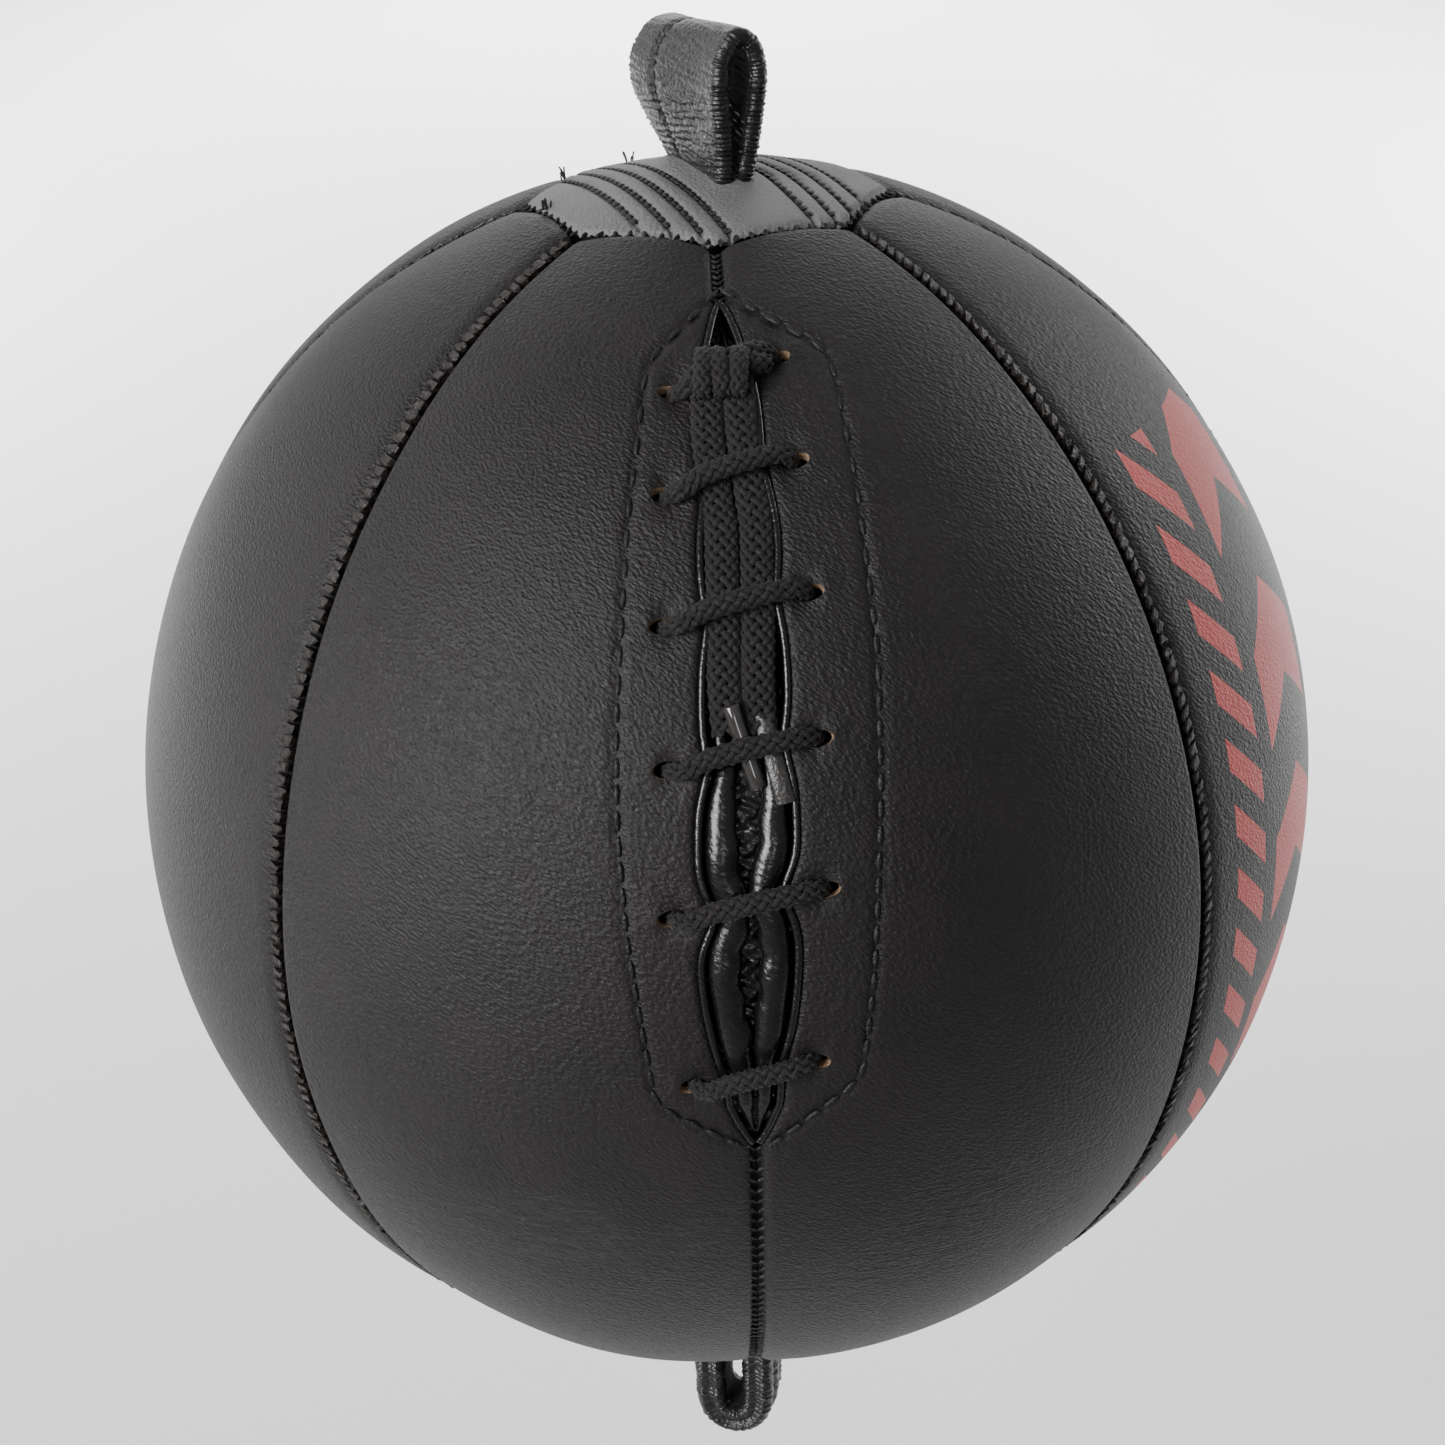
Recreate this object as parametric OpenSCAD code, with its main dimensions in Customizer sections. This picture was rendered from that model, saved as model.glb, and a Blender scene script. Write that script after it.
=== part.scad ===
// Laced leather double-end ball: eight sewn panels round an air bladder, a laced opening,
// and a leather strap loop at each pole. Millimetres, +Z up through the top loop, lacing at -Y.

/* [Ball] */
// Width across the leather at the equator
ball_d = 250; // [220:1:280]
// Height from pole to pole over the width
ball_ratio = 1.048; // [1.0:0.004:1.08]
// Thickness of the panel leather
leather_t = 2.2; // [1.8:0.1:2.2]
// Thickness of the cloth lining behind each panel
lining_t = 1.0; // [0.6:0.1:1.0]
// Width of the groove between two panels
seam_gap = 1.6; // [1.4:0.1:2.2]

/* [Pole caps] */
// Distance from the pole to a corner of the eight-sided cap
cap_r = 36.6; // [34:0.2:38]
// Height of the padded cap above the panels
cap_rise = 1.2; // [0.6:0.1:1.6]
// Distance from the strap's middle to the first quilting row
quilt_first = 9; // [8:0.5:10]
// Distance between quilting rows
quilt_pitch = 4.7; // [4:0.1:5]

/* [Top loop] */
// Turn of the loop's tunnel from the lacing, about Z
top_turn = 20; // [0:1:40]
// Width of the strap
top_strap_w = 28; // [24:1:30]
// Thickness of the folded strap
top_strap_t = 2.4; // [2:0.1:2.6]
// Outer radius of the loop's bend
top_bend_r = 6.8; // [5.5:0.1:8]
// Height of the loop's top above the ball's centre
top_reach = 160.5; // [156:0.5:166]

/* [Bottom loop] */
// Turn of the loop's tunnel from the lacing, about Z
bottom_turn = -15; // [-30:1:0]
// Width of the rolled strap
bottom_strap_w = 16; // [14:1:20]
// Thickness of the rolled strap
bottom_strap_t = 7.2; // [6:0.1:7.4]
// Outer radius of the loop's bend
bottom_bend_r = 10; // [9.6:0.1:11]
// Depth of the loop's lowest point below the ball's centre
bottom_reach = 176.5; // [170:0.5:180]

/* [Lacing] */
// Height of the opening's upper end above the ball's centre
slit_top = 118.5; // [116:0.5:119]
// Height of the opening's lower end
slit_bottom = -20.5; // [-22:0.5:-18]
// Half of the opening's greatest width
slit_half = 8.8; // [8:0.1:9.2]
// Radius of a lace hole
hole_r = 2.6; // [2.4:0.1:2.8]
// Radius of the gathered lace
lace_r = 1.7; // [1.4:0.1:1.75]
// Width of each flat lace end
lace_flat_w = 5.2; // [4:0.1:5.4]

/* [Bladder] */
// Thickness of the rubber wall
bladder_t = 1.0; // [0.7:0.1:1.2]
// Radius of the valve's stem
valve_r = 5; // [4:0.5:6]

/* [Hidden] */
$fn = 96;

panel_angle = 45;
ball_a = ball_d / 2;
ball_c = ball_a * ball_ratio;
centre_z = (bottom_reach - top_reach) / 2;
profile_step = 5;

// Depths below the leather's surface of each layer, from the outside in
lining_out = leather_t + 0.1;
lining_in = lining_out + lining_t;
facing_in = 3.8;
tongue_out = 4.1;
tongue_in = 5.6;
bladder_out = 5.5;
trough_floor = 10.4;
lace_run = 8.2;
tail_out = 1.5;
tail_in = 3.9;
backing_out = 4.0;
backing_in = 5.2;

cap_in = 1.4;
cap_cut_r = cap_r + 1;
backing_r = 39.5;
tail_reach = 26;
quilt_rows = 4;
thread_w = 0.7;

facing_margin = 4.5;
trough_half = 22.5;
tongue_half = 7.4;
roll_gap = 1.5;
roll_top = 0.8;
lace_end_out = 0.2;
lace_end_in = 2.2;
// Each flat lace end narrows above the full height, up to its top, as the opening does
lace_end_bottom = 58.5;
lace_end_full = 98;
lace_end_top = 107;
lace_end_top_w = 3.5;
// The rolled edges are pressed down under the lace ends, above this height
press_bottom = 41;
press_half = 7.5;
tongue_bottom = -22;
tongue_top = 118.6;
aglet_r = 1.2;
aglet_l = 10;
aglet_depth = 1.0;

// Lace rows from the top: height of the row's middle, and half the distance between its holes
row_z = [109, 95, 76, 53.5, 28, -5];
row_x = [9.7, 11.8, 13, 13.4, 13.7, 11.2];
// Each row's right hole sits this much above its middle, and the left one as much below
row_tilt = 2;

// Half of the stitched outline round the opening, as half-width and height
facing_half = [[1.5, 119.3], [17, 111], [22, 88], [23.5, 55], [23, 25], [20.5, 2], [18.7, -9], [3.5, -19.8]];

top_hinge_r = top_strap_t + 0.4;
top_hinge_z = ball_c + cap_rise + top_hinge_r;
bottom_hinge_r = 5.6;
bottom_hinge_z = ball_c + cap_rise + bottom_hinge_r;
hinge_gap = 0.35;
slot_gap = 0.3;

valve_z = -60;
valve_neck_r = valve_r - 1;
valve_flange_r = valve_r + 4;
valve_bore_r = 1.5;
valve_stem_l = 14;

// ---- points on the ball ----

function skin_point(x, z) =
    [x, -sqrt(pow(ball_a, 2) * (1 - pow(z / ball_c, 2)) - x * x), z];
function outward(x, z) =
    let (p = skin_point(x, z), n = [p.x, p.y, p.z / pow(ball_ratio, 2)])
    n / norm(n);
// A point over or under the surface at the given place across and up the front
function at(x, z, lift = 0) = skin_point(x, z) + lift * outward(x, z);
function arc(drop, low, high) =
    [for (u = [low:profile_step:high]) [(ball_a - drop) * cos(u), (ball_c - drop) * sin(u)]];
function backwards(list) = [for (i = [len(list) - 1:-1:0]) list[i]];
function mirrored(half) = concat(half, [for (p = backwards(half)) [-p.x, p.y]]);

module at_centre() { translate([0, 0, centre_z]) children(); }

module egg(drop) { rotate_extrude() polygon(arc(drop, -90, 90)); }

module shell_sector(outer, inner, start = 0, angle = 360) {
    rotate([0, 0, start]) rotate_extrude(angle = angle)
        polygon(concat(arc(outer, -90, 90), backwards(arc(inner, -90, 90))));
}

// The half of a shell that one pole needs, for the pieces at the poles
module pole_shell(outer, inner, low = 60) {
    rotate_extrude() polygon(concat(arc(outer, low, 90), backwards(arc(inner, low, 90))));
}

// The front of a shell, wider than anything round the opening
module front_shell(outer, inner) { shell_sector(outer, inner, -120, 60); }

// An outline drawn in X and Z, run back from the front of the ball
module from_front(points) {
    translate([0, -20, 0]) rotate([90, 0, 0]) linear_extrude(height = ball_d) polygon(points);
}

module seam_slab(angle, width) {
    rotate([0, 0, angle]) translate([0, -width / 2, -ball_d]) cube([ball_d, width, 2 * ball_d]);
}

module at_skin(x, z, lift = 0) {
    n = outward(x, z);
    translate(at(x, z, lift)) rotate([0, acos(n.z), atan2(n.y, n.x)]) children();
}

// ---- outlines ----

slit_steps = 16;
function slit_w(s) = slit_half * pow(1 - pow(abs(2 * s - 1), 2.5), 0.75);
function slit_outline(trim = 0) = mirrored(
    [for (i = [0:slit_steps])
        let (s = i / slit_steps)
        [max(slit_w(s) - trim, 0.05), slit_bottom + s * (slit_top - slit_bottom)]]);
function facing_outline(grow = 0) = mirrored(
    [for (p = facing_half) [p.x + grow, p.y + (p.y > 50 ? 0.3 : -0.6) * grow]]);

module lace_holes() {
    for (i = [0:len(row_z) - 1])
        for (side = [-1, 1])
            at_skin(side * row_x[i], row_z[i] + side * row_tilt)
                cylinder(r = hole_r, h = 12, center = true, $fn = 32);
}

// ---- panels and linings ----

function panel_start(i) = -90 + panel_angle * (i - 1);
function is_laced(i) = i == 1 || i == 8;

module gore(i, outer, inner, gap) {
    difference() {
        shell_sector(outer, inner, panel_start(i), panel_angle);
        seam_slab(panel_start(i), gap);
        seam_slab(panel_start(i + 1), gap);
        translate([0, 0, -ball_d]) cylinder(r = cap_cut_r, h = 2 * ball_d, $fn = 8);
    }
}

module panel(i) {
    color("#1b1b1d") at_centre() difference() {
        gore(i, 0, leather_t, seam_gap);
        if (is_laced(i)) from_front(slit_outline());
        if (is_laced(i)) lace_holes();
    }
}

module lining(i) {
    color("#3a3a3c") at_centre() difference() {
        gore(i, lining_out, lining_in, 0.2);
        if (is_laced(i)) from_front(facing_outline(facing_margin + 0.4));
    }
}

// ---- threads in the seams ----

module seam_arc(i, low, high) {
    rotate([0, 0, panel_start(i)]) rotate([90, 0, 0])
        linear_extrude(height = seam_gap - 0.6, center = true)
            polygon(concat(arc(0.5, low, high), backwards(arc(2.1, low, high))));
}

module seam_thread(i) {
    color("#101011") at_centre()
        if (i == 1) {
            seam_arc(i, -72, -12);
            seam_arc(i, 67, 72);
        } else seam_arc(i, -72, 72);
}

// ---- the laced opening ----

module side_block(side) {
    translate([side > 0 ? 0.1 : -ball_d - 0.1, -ball_d, -ball_d]) cube([ball_d, ball_d, 2 * ball_d]);
}

module facing(side) {
    color("#202022") at_centre() difference() {
        intersection() {
            front_shell(lining_out, facing_in);
            from_front(facing_outline(facing_margin));
            side_block(side);
        }
        from_front(slit_outline());
        lace_holes();
    }
}

// The glossy rounded edge inside the opening, pressed down where the lace ends lie on it
module slit_roll(side) {
    color("#151516") at_centre() difference() {
        intersection() {
            front_shell(roll_top, facing_in);
            from_front(slit_outline(0.4));
            side_block(side);
        }
        from_front([[-roll_gap, -30], [roll_gap, -30], [roll_gap, 125], [-roll_gap, 125]]);
        intersection() {
            front_shell(-1, lace_end_in + 0.1);
            from_front([[-press_half, press_bottom], [press_half, press_bottom], [press_half, 125], [-press_half, 125]]);
        }
    }
}

module tongue() {
    color("#19191b") at_centre() intersection() {
        front_shell(tongue_out, tongue_in);
        from_front(mirrored([
            [tongue_half - 2, tongue_bottom], [tongue_half, tongue_bottom + 4],
            [tongue_half, tongue_top - 5], [tongue_half / 2, tongue_top]]));
    }
}

module facing_thread() {
    color("#0c0c0d") at_centre() difference() {
        intersection() {
            front_shell(-0.35, -0.02);
            from_front(facing_outline(thread_w / 2));
        }
        from_front(facing_outline(-thread_w / 2));
    }
}

// ---- the lace ----

function blend_point(a, b, t) = a + (b - a) * t;
// The strand that rises from a row's left hole, crosses the opening and goes down the right one
function crossing(i) = let (x = row_x[i], z = row_z[i], d = row_tilt) [
    at(-x, z - d, -lace_run), at(-x, z - d, -3.6), at(-x, z - d, 0),
    at(-x + 1.3, z - d, 1.95), at(-x * 0.5, z - d / 2, 2.3), at(0, z, 2.4),
    at(x * 0.5, z + d / 2, 2.3), at(x - 1.3, z + d, 1.95),
    at(x, z + d, 0), at(x, z + d, -3.6), at(x, z + d, -lace_run)];
// The hidden run from a row's right hole down to the next row's left one
function under_run(i) = [for (t = [0.25, 0.5, 0.75])
    at(blend_point(row_x[i], -row_x[i + 1], t),
       blend_point(row_z[i] + row_tilt, row_z[i + 1] - row_tilt, t), -lace_run)];
return_x = 18.6;
function return_run() = concat(
    [at(15.5, -4, -lace_run)],
    [for (z = [2:10:102]) at(return_x, z, -lace_run)],
    [at(16, 110, -lace_run), at(8, 116, -lace_run), at(-3, 116, -lace_run), at(-8.6, 112, -lace_run)]);
function lace_route() = concat(
    [for (k = [6:10]) crossing(0)[k]],
    under_run(0), crossing(1), under_run(1), crossing(2), under_run(2), crossing(3),
    under_run(3), crossing(4), under_run(4), crossing(5),
    return_run(),
    [for (k = [0:4]) crossing(0)[k]]);

function unit(v) = v / norm(v);
function tangent(p, i) = unit(p[min(i + 1, len(p) - 1)] - p[max(i - 1, 0)]);
function square_to(n, t) = unit(n - (n * t) * t);

// A round tube along a list of points
module tube(p, r, sides) {
    side_dirs = [for (i = 0, n = square_to([0, 0, 1], tangent(p, 0)); i < len(p);
        i = i + 1, n = i < len(p) ? square_to(n, tangent(p, i)) : n) n];
    rings = [for (i = [0:len(p) - 1], k = [0:sides - 1])
        let (t = tangent(p, i), n = side_dirs[i], b = cross(t, n), a = 360 * k / sides)
        p[i] + r * (cos(a) * n + sin(a) * b)];
    last = (len(p) - 1) * sides;
    walls = [for (i = [0:len(p) - 2], k = [0:sides - 1])
        let (k2 = (k + 1) % sides, q = i * sides)
        [q + k, q + sides + k, q + sides + k2, q + k2]];
    polyhedron(points = rings, faces = concat(
        [[for (k = [0:sides - 1]) k]], walls,
        [[for (k = [sides - 1:-1:0]) last + k]]), convexity = 10);
}

module lace() { color("#161617") at_centre() tube(lace_route(), lace_r, 8); }

module lace_knot() {
    color("#161617") at_centre() at_skin(0, row_z[0], 2.6)
        rotate([0, 90, 90]) cylinder(r = 2.3, h = 8.4, center = true, $fn = 32);
}

module lace_end(side) {
    inner = 0.2;
    color("#161617") at_centre() intersection() {
        front_shell(lace_end_out, lace_end_in);
        from_front([
            [side * inner, lace_end_bottom], [side * (inner + lace_flat_w), lace_end_bottom],
            [side * (inner + lace_flat_w), lace_end_full],
            [side * (inner + lace_end_top_w), lace_end_top], [side * inner, lace_end_top]]);
    }
}

// A stiff tip from the lower end of a flat lace end, leaning sideways as it goes down
module aglet(x, lean) {
    z = lace_end_bottom - 0.7;
    n = at(x, z, -aglet_depth);
    m = at(x + lean, z - aglet_l, -aglet_depth);
    d = m - n;
    translate(n) rotate([0, acos(d.z / norm(d)), atan2(d.y, d.x)])
        cylinder(r = aglet_r, h = norm(d), $fn = 32);
}

module aglets() {
    color("#4b4b4d") at_centre() {
        aglet(-2.8, 1.2);
        aglet(3.4, 1.6);
    }
}

// ---- caps, straps and loops at the poles ----

// Children drawn for the top pole are turned over for the bottom one
module at_pole(top) {
    at_centre() mirror([0, 0, top ? 0 : 1]) rotate([0, 0, top ? top_turn : bottom_turn]) children();
}

module cap_block(top, r) {
    rotate([0, 0, top ? -top_turn : -bottom_turn]) cylinder(r = r, h = ball_d, $fn = 8);
}

function stub_half(top) = top ? top_hinge_r - 0.1 : bottom_hinge_r - 0.1;
function strap_w(top) = top ? top_strap_w : bottom_strap_w;

module cap(top) {
    half = stub_half(top) + slot_gap;
    length = strap_w(top) + 2 * slot_gap;
    color("#242426") at_pole(top) difference() {
        intersection() {
            pole_shell(-cap_rise, cap_in);
            cap_block(top, cap_r);
        }
        translate([-half, -length / 2, 0]) cube([2 * half, length, ball_d]);
    }
}

module edge_thread(top) {
    color("#0c0c0d") at_pole(top) difference() {
        intersection() {
            pole_shell(-0.2, cap_in);
            cap_block(top, cap_r + 0.8);
        }
        cap_block(top, cap_r + 0.2);
    }
}

module quilt_thread(top) {
    color("#0c0c0d") at_pole(top) intersection() {
        pole_shell(-cap_rise - 0.4, -cap_rise - 0.02);
        cap_block(top, cap_r - 2);
        for (side = [-1, 1], k = [0:quilt_rows - 1])
            translate([side * (quilt_first + k * quilt_pitch) - thread_w / 2, -cap_r, 0])
                cube([thread_w, 2 * cap_r, ball_d]);
    }
}

module backing(top) {
    color("#3a3a3c") at_pole(top) intersection() {
        pole_shell(backing_out, backing_in);
        cylinder(r = backing_r, h = ball_d);
    }
}

// One end of the strap: up through the cap's slot, and out flat under the quilting
module strap_tail(top, side) {
    hinge_z = top ? top_hinge_z : bottom_hinge_z;
    hinge_r = top ? top_hinge_r : bottom_hinge_r;
    half = stub_half(top);
    w = strap_w(top);
    color("#1e1e20") at_pole(top) {
        difference() {
            union() {
                intersection() {
                    pole_shell(tail_out, tail_in);
                    translate([side > 0 ? 0.05 : -tail_reach, -w / 2, 0])
                        cube([tail_reach - 0.05, w, ball_d]);
                }
                translate([side > 0 ? 0.05 : -half, -w / 2, ball_c - 4.5])
                    cube([half - 0.05, w, 8]);
            }
            translate([0, 0, hinge_z]) rotate([90, 0, 0])
                cylinder(r = hinge_r + hinge_gap, h = 2 * w, center = true);
            translate([-half * 2, -w, hinge_z - hinge_r * 0.35]) cube([half * 4, 2 * w, 20]);
            egg(tail_in);
        }
    }
}

// A loop's outline, as a bend over two legs that close on the hinge
function loop_outline(bend_z, bend_r, root_half) = concat(
    [[root_half, 0]],
    [for (a = [-15:10:195]) [bend_r * cos(a), bend_z + bend_r * sin(a)]],
    [[-root_half, 0]]);

module strap_loop(top) {
    hinge_z = top ? top_hinge_z : bottom_hinge_z;
    hinge_r = top ? top_hinge_r : bottom_hinge_r;
    bend_r = top ? top_bend_r : bottom_bend_r;
    t = top ? top_strap_t : bottom_strap_t;
    bend_z = (top ? top_reach : bottom_reach) - hinge_z - bend_r;
    w = strap_w(top);
    color("#222224") at_pole(top) translate([0, 0, hinge_z]) rotate([90, 0, 0])
        linear_extrude(height = w, center = true) difference() {
            union() {
                polygon(loop_outline(bend_z, bend_r, hinge_r));
                circle(r = hinge_r);
            }
            polygon(concat(
                [[0.3, hinge_r]],
                [for (a = [-15:10:195]) [(bend_r - t) * cos(a), bend_z + (bend_r - t) * sin(a)]],
                [[-0.3, hinge_r]]));
        }
}

// ---- bladder and valve ----

module bladder_body(drop, floor_drop, half) {
    difference() {
        egg(drop);
        difference() {
            from_front([[-half, -17 - half / 4], [half, -17 - half / 4], [half, 128], [-half, 128]]);
            egg(floor_drop);
        }
    }
}

module at_valve() { at_skin(0, valve_z, -bladder_out) rotate([180, 0, 0]) children(); }

module bladder() {
    color("#2a2622") at_centre() difference() {
        bladder_body(bladder_out, trough_floor, trough_half);
        bladder_body(bladder_out + bladder_t, trough_floor + bladder_t, trough_half + bladder_t);
        at_valve() cylinder(r = valve_neck_r + 0.05, h = 4, center = true);
    }
}

module valve_boss() {
    color("#3d3934") at_centre() at_valve() difference() {
        union() {
            translate([0, 0, 0.3]) cylinder(r = valve_neck_r, h = 2);
            translate([0, 0, bladder_t + 0.5]) cylinder(r = valve_flange_r, h = 1.6);
            translate([0, 0, bladder_t + 2]) cylinder(r = valve_r, h = valve_stem_l);
        }
        cylinder(r = valve_bore_r, h = valve_stem_l);
    }
}

module valve_plug() {
    color("#55504a") at_centre() at_valve()
        translate([0, 0, 0.5]) cylinder(r = valve_bore_r - 0.05, h = valve_stem_l - 1);
}

panel(1);  // panel_1
panel(2);  // panel_2
panel(3);  // panel_3
panel(4);  // panel_4
panel(5);  // panel_5
panel(6);  // panel_6
panel(7);  // panel_7
panel(8);  // panel_8
lining(1);  // lining_1
lining(2);  // lining_2
lining(3);  // lining_3
lining(4);  // lining_4
lining(5);  // lining_5
lining(6);  // lining_6
lining(7);  // lining_7
lining(8);  // lining_8
seam_thread(1);  // seam_thread_1
seam_thread(2);  // seam_thread_2
seam_thread(3);  // seam_thread_3
seam_thread(4);  // seam_thread_4
seam_thread(5);  // seam_thread_5
seam_thread(6);  // seam_thread_6
seam_thread(7);  // seam_thread_7
seam_thread(8);  // seam_thread_8
facing(-1);  // facing_left
facing(1);  // facing_right
slit_roll(-1);  // slit_roll_left
slit_roll(1);  // slit_roll_right
tongue();
facing_thread();
lace();
lace_knot();
lace_end(-1);  // lace_end_left
lace_end(1);  // lace_end_right
aglets();
cap(true);  // top_cap
edge_thread(true);  // top_edge_thread
quilt_thread(true);  // top_quilt_thread
backing(true);  // top_backing
strap_tail(true, -1);  // top_strap_tail_left
strap_tail(true, 1);  // top_strap_tail_right
strap_loop(true);  // top_loop
cap(false);  // bottom_cap
edge_thread(false);  // bottom_edge_thread
quilt_thread(false);  // bottom_quilt_thread
backing(false);  // bottom_backing
strap_tail(false, -1);  // bottom_strap_tail_left
strap_tail(false, 1);  // bottom_strap_tail_right
strap_loop(false);  // bottom_loop
bladder();
valve_boss();
valve_plug();
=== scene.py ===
# The looks of the laced leather double-end ball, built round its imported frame.
# Shapes are worked out in millimetres from the ball's centre, and toFrame puts them in the frame.
import math
import random

import bpy
import numpy as np
from mathutils import Matrix, Vector


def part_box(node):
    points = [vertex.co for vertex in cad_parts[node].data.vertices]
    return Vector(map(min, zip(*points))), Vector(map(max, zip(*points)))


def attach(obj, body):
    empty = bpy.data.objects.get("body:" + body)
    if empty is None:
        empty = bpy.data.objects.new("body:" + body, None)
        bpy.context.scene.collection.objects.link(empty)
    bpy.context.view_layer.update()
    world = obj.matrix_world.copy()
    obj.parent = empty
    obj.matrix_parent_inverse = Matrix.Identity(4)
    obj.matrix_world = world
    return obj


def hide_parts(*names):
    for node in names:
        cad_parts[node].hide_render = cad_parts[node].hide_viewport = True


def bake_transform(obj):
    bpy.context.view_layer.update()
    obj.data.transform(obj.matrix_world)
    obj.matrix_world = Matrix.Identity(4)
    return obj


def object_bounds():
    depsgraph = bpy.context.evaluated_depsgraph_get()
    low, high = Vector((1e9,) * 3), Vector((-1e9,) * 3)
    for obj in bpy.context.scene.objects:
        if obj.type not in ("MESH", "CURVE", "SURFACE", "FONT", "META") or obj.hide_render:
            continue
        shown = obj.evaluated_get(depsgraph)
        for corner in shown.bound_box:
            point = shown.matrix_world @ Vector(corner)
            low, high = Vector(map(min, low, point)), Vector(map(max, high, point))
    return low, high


print("Loading the frame")
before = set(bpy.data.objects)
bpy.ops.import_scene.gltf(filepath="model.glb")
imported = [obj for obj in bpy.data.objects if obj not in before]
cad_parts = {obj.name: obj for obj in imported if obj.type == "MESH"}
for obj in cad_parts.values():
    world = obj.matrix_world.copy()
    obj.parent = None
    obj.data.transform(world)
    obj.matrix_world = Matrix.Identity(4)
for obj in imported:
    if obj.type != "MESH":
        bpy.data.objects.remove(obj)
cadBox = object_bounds()
random.seed(7)
mm = 0.001

ball = {
    "ratio": 1.048,  # height over width
    "wedge": math.radians(45),  # one panel's share of the turn
    "front": -math.pi / 2,  # the lacing's place, and the first panel's start
    "seamHalf": 0.8,  # half of the groove between two panels
    "capCut": 37.6,  # from the pole to a corner of the panels' eight-sided end
    "leather": 2.1,
}
panelLow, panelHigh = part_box("panel_3")
centreZ = (panelLow.z + panelHigh.z) / 2
ball["half"] = panelHigh.x / mm
ball["pole"] = ball["half"] * ball["ratio"]


def toFrame(points):
    return np.asarray(points) * mm + (0, 0, centreZ)


def onBall(turn, rise, lift=0.0):
    # turn is about Z and rise is from the equator, in radians; lift is over the leather
    across, up = np.cos(rise) / ball["half"], np.sin(rise) / ball["pole"]
    size = np.hypot(across, up)
    rho = ball["half"] * np.cos(rise) + lift * across / size
    z = ball["pole"] * np.sin(rise) + lift * up / size
    return np.stack(np.broadcast_arrays(rho * np.cos(turn), rho * np.sin(turn), z), axis=-1)


def onFront(x, z, lift=0.0):
    rise = np.arcsin(np.clip(np.asarray(z) / ball["pole"], -1, 1))
    turn = ball["front"] + np.arcsin(np.clip(x / (ball["half"] * np.cos(rise)), -1, 1))
    return onBall(turn, rise, lift)


def unit(vectors):
    return vectors / np.linalg.norm(vectors, axis=-1, keepdims=True)


def outward(points):
    return unit(np.asarray(points) * (1, 1, 1 / ball["ratio"] ** 2))


def smoothLine(points, step, blur):
    # the line through points, at even steps, with its corners softened over blur steps
    points = np.asarray(points, float)
    along = np.r_[0, np.cumsum(np.linalg.norm(np.diff(points, axis=0), axis=1))]
    count = max(int(round(along[-1] / step)), 2)
    at = np.linspace(0, along[-1], count + 1)
    even = np.stack([np.interp(at, along, points[:, k]) for k in range(points.shape[1])], axis=1)
    if blur:
        kernel = np.hanning(2 * blur + 3)[1:-1]
        kernel /= kernel.sum()
        padded = np.concatenate([
            2 * even[0] - even[blur:0:-1], even, 2 * even[-1] - even[-2:-blur - 2:-1]])
        even = np.stack([np.convolve(padded[:, k], kernel, "valid") for k in range(even.shape[1])], axis=1)
    return even


def directions(line):
    return unit(np.gradient(line, axis=0))


def only(piece):
    bpy.ops.object.select_all(action="DESELECT")
    piece.select_set(True)
    bpy.context.view_layer.objects.active = piece


def corners(piece):
    flat = np.empty(len(piece.data.vertices) * 3)
    piece.data.vertices.foreach_get("co", flat)
    return flat.reshape(-1, 3)


def moveCorners(piece, points):
    piece.data.vertices.foreach_set("co", np.ascontiguousarray(points, dtype=float).ravel())
    piece.data.update()


def newSheet(name, columns, rows, shape):
    # a grid primitive whose corners go where shape says, for u and v from 0 to 1
    bpy.ops.object.select_all(action="DESELECT")
    bpy.ops.mesh.primitive_grid_add(x_subdivisions=columns, y_subdivisions=rows, size=1)
    piece = bpy.context.object
    piece.name = name
    piece.data.name = name
    flat = corners(piece) + 0.5
    moveCorners(piece, toFrame(shape(flat[:, 0], flat[:, 1])))
    return piece


def editAll(piece):
    only(piece)
    bpy.ops.object.mode_set(mode="EDIT")
    bpy.ops.mesh.select_all(action="SELECT")


def closeUp(piece):
    # a sheet wrapped round on itself is joined at its seam, closed at its ends and faced outwards
    editAll(piece)
    bpy.ops.mesh.remove_doubles(threshold=0.002 * mm)
    bpy.ops.mesh.select_all(action="DESELECT")
    bpy.ops.mesh.select_mode(type="EDGE")
    bpy.ops.mesh.select_non_manifold()
    bpy.ops.mesh.edge_face_add()
    bpy.ops.mesh.select_all(action="SELECT")
    bpy.ops.mesh.fill_holes(sides=0)
    bpy.ops.mesh.normals_make_consistent(inside=False)
    bpy.ops.mesh.select_mode(type="VERT")
    bpy.ops.object.mode_set(mode="OBJECT")
    return piece


def newTube(name, line, sides, across, thick, normals=None):
    # an oval tube along a line: across and thick are its half sizes, as numbers or one per point
    line = np.asarray(line, float)
    normals = outward(line) if normals is None else normals
    along = directions(line)
    side = unit(np.cross(along, normals))
    up = np.cross(side, along)
    across = np.broadcast_to(across, len(line))
    thick = np.broadcast_to(thick, len(line))

    def shape(u, v):
        row = np.rint(v * (len(line) - 1)).astype(int)
        angle = -2 * math.pi * u
        return (line[row] + (across[row] * np.cos(angle))[:, None] * side[row]
                + (thick[row] * np.sin(angle))[:, None] * up[row])

    return closeUp(newSheet(name, sides, len(line) - 1, shape))


def useModifier(piece, kind, **settings):
    only(piece)
    modifier = piece.modifiers.new(kind, kind)
    for key, value in settings.items():
        setattr(modifier, key, value)
    bpy.ops.object.modifier_apply(modifier=modifier.name)


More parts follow.
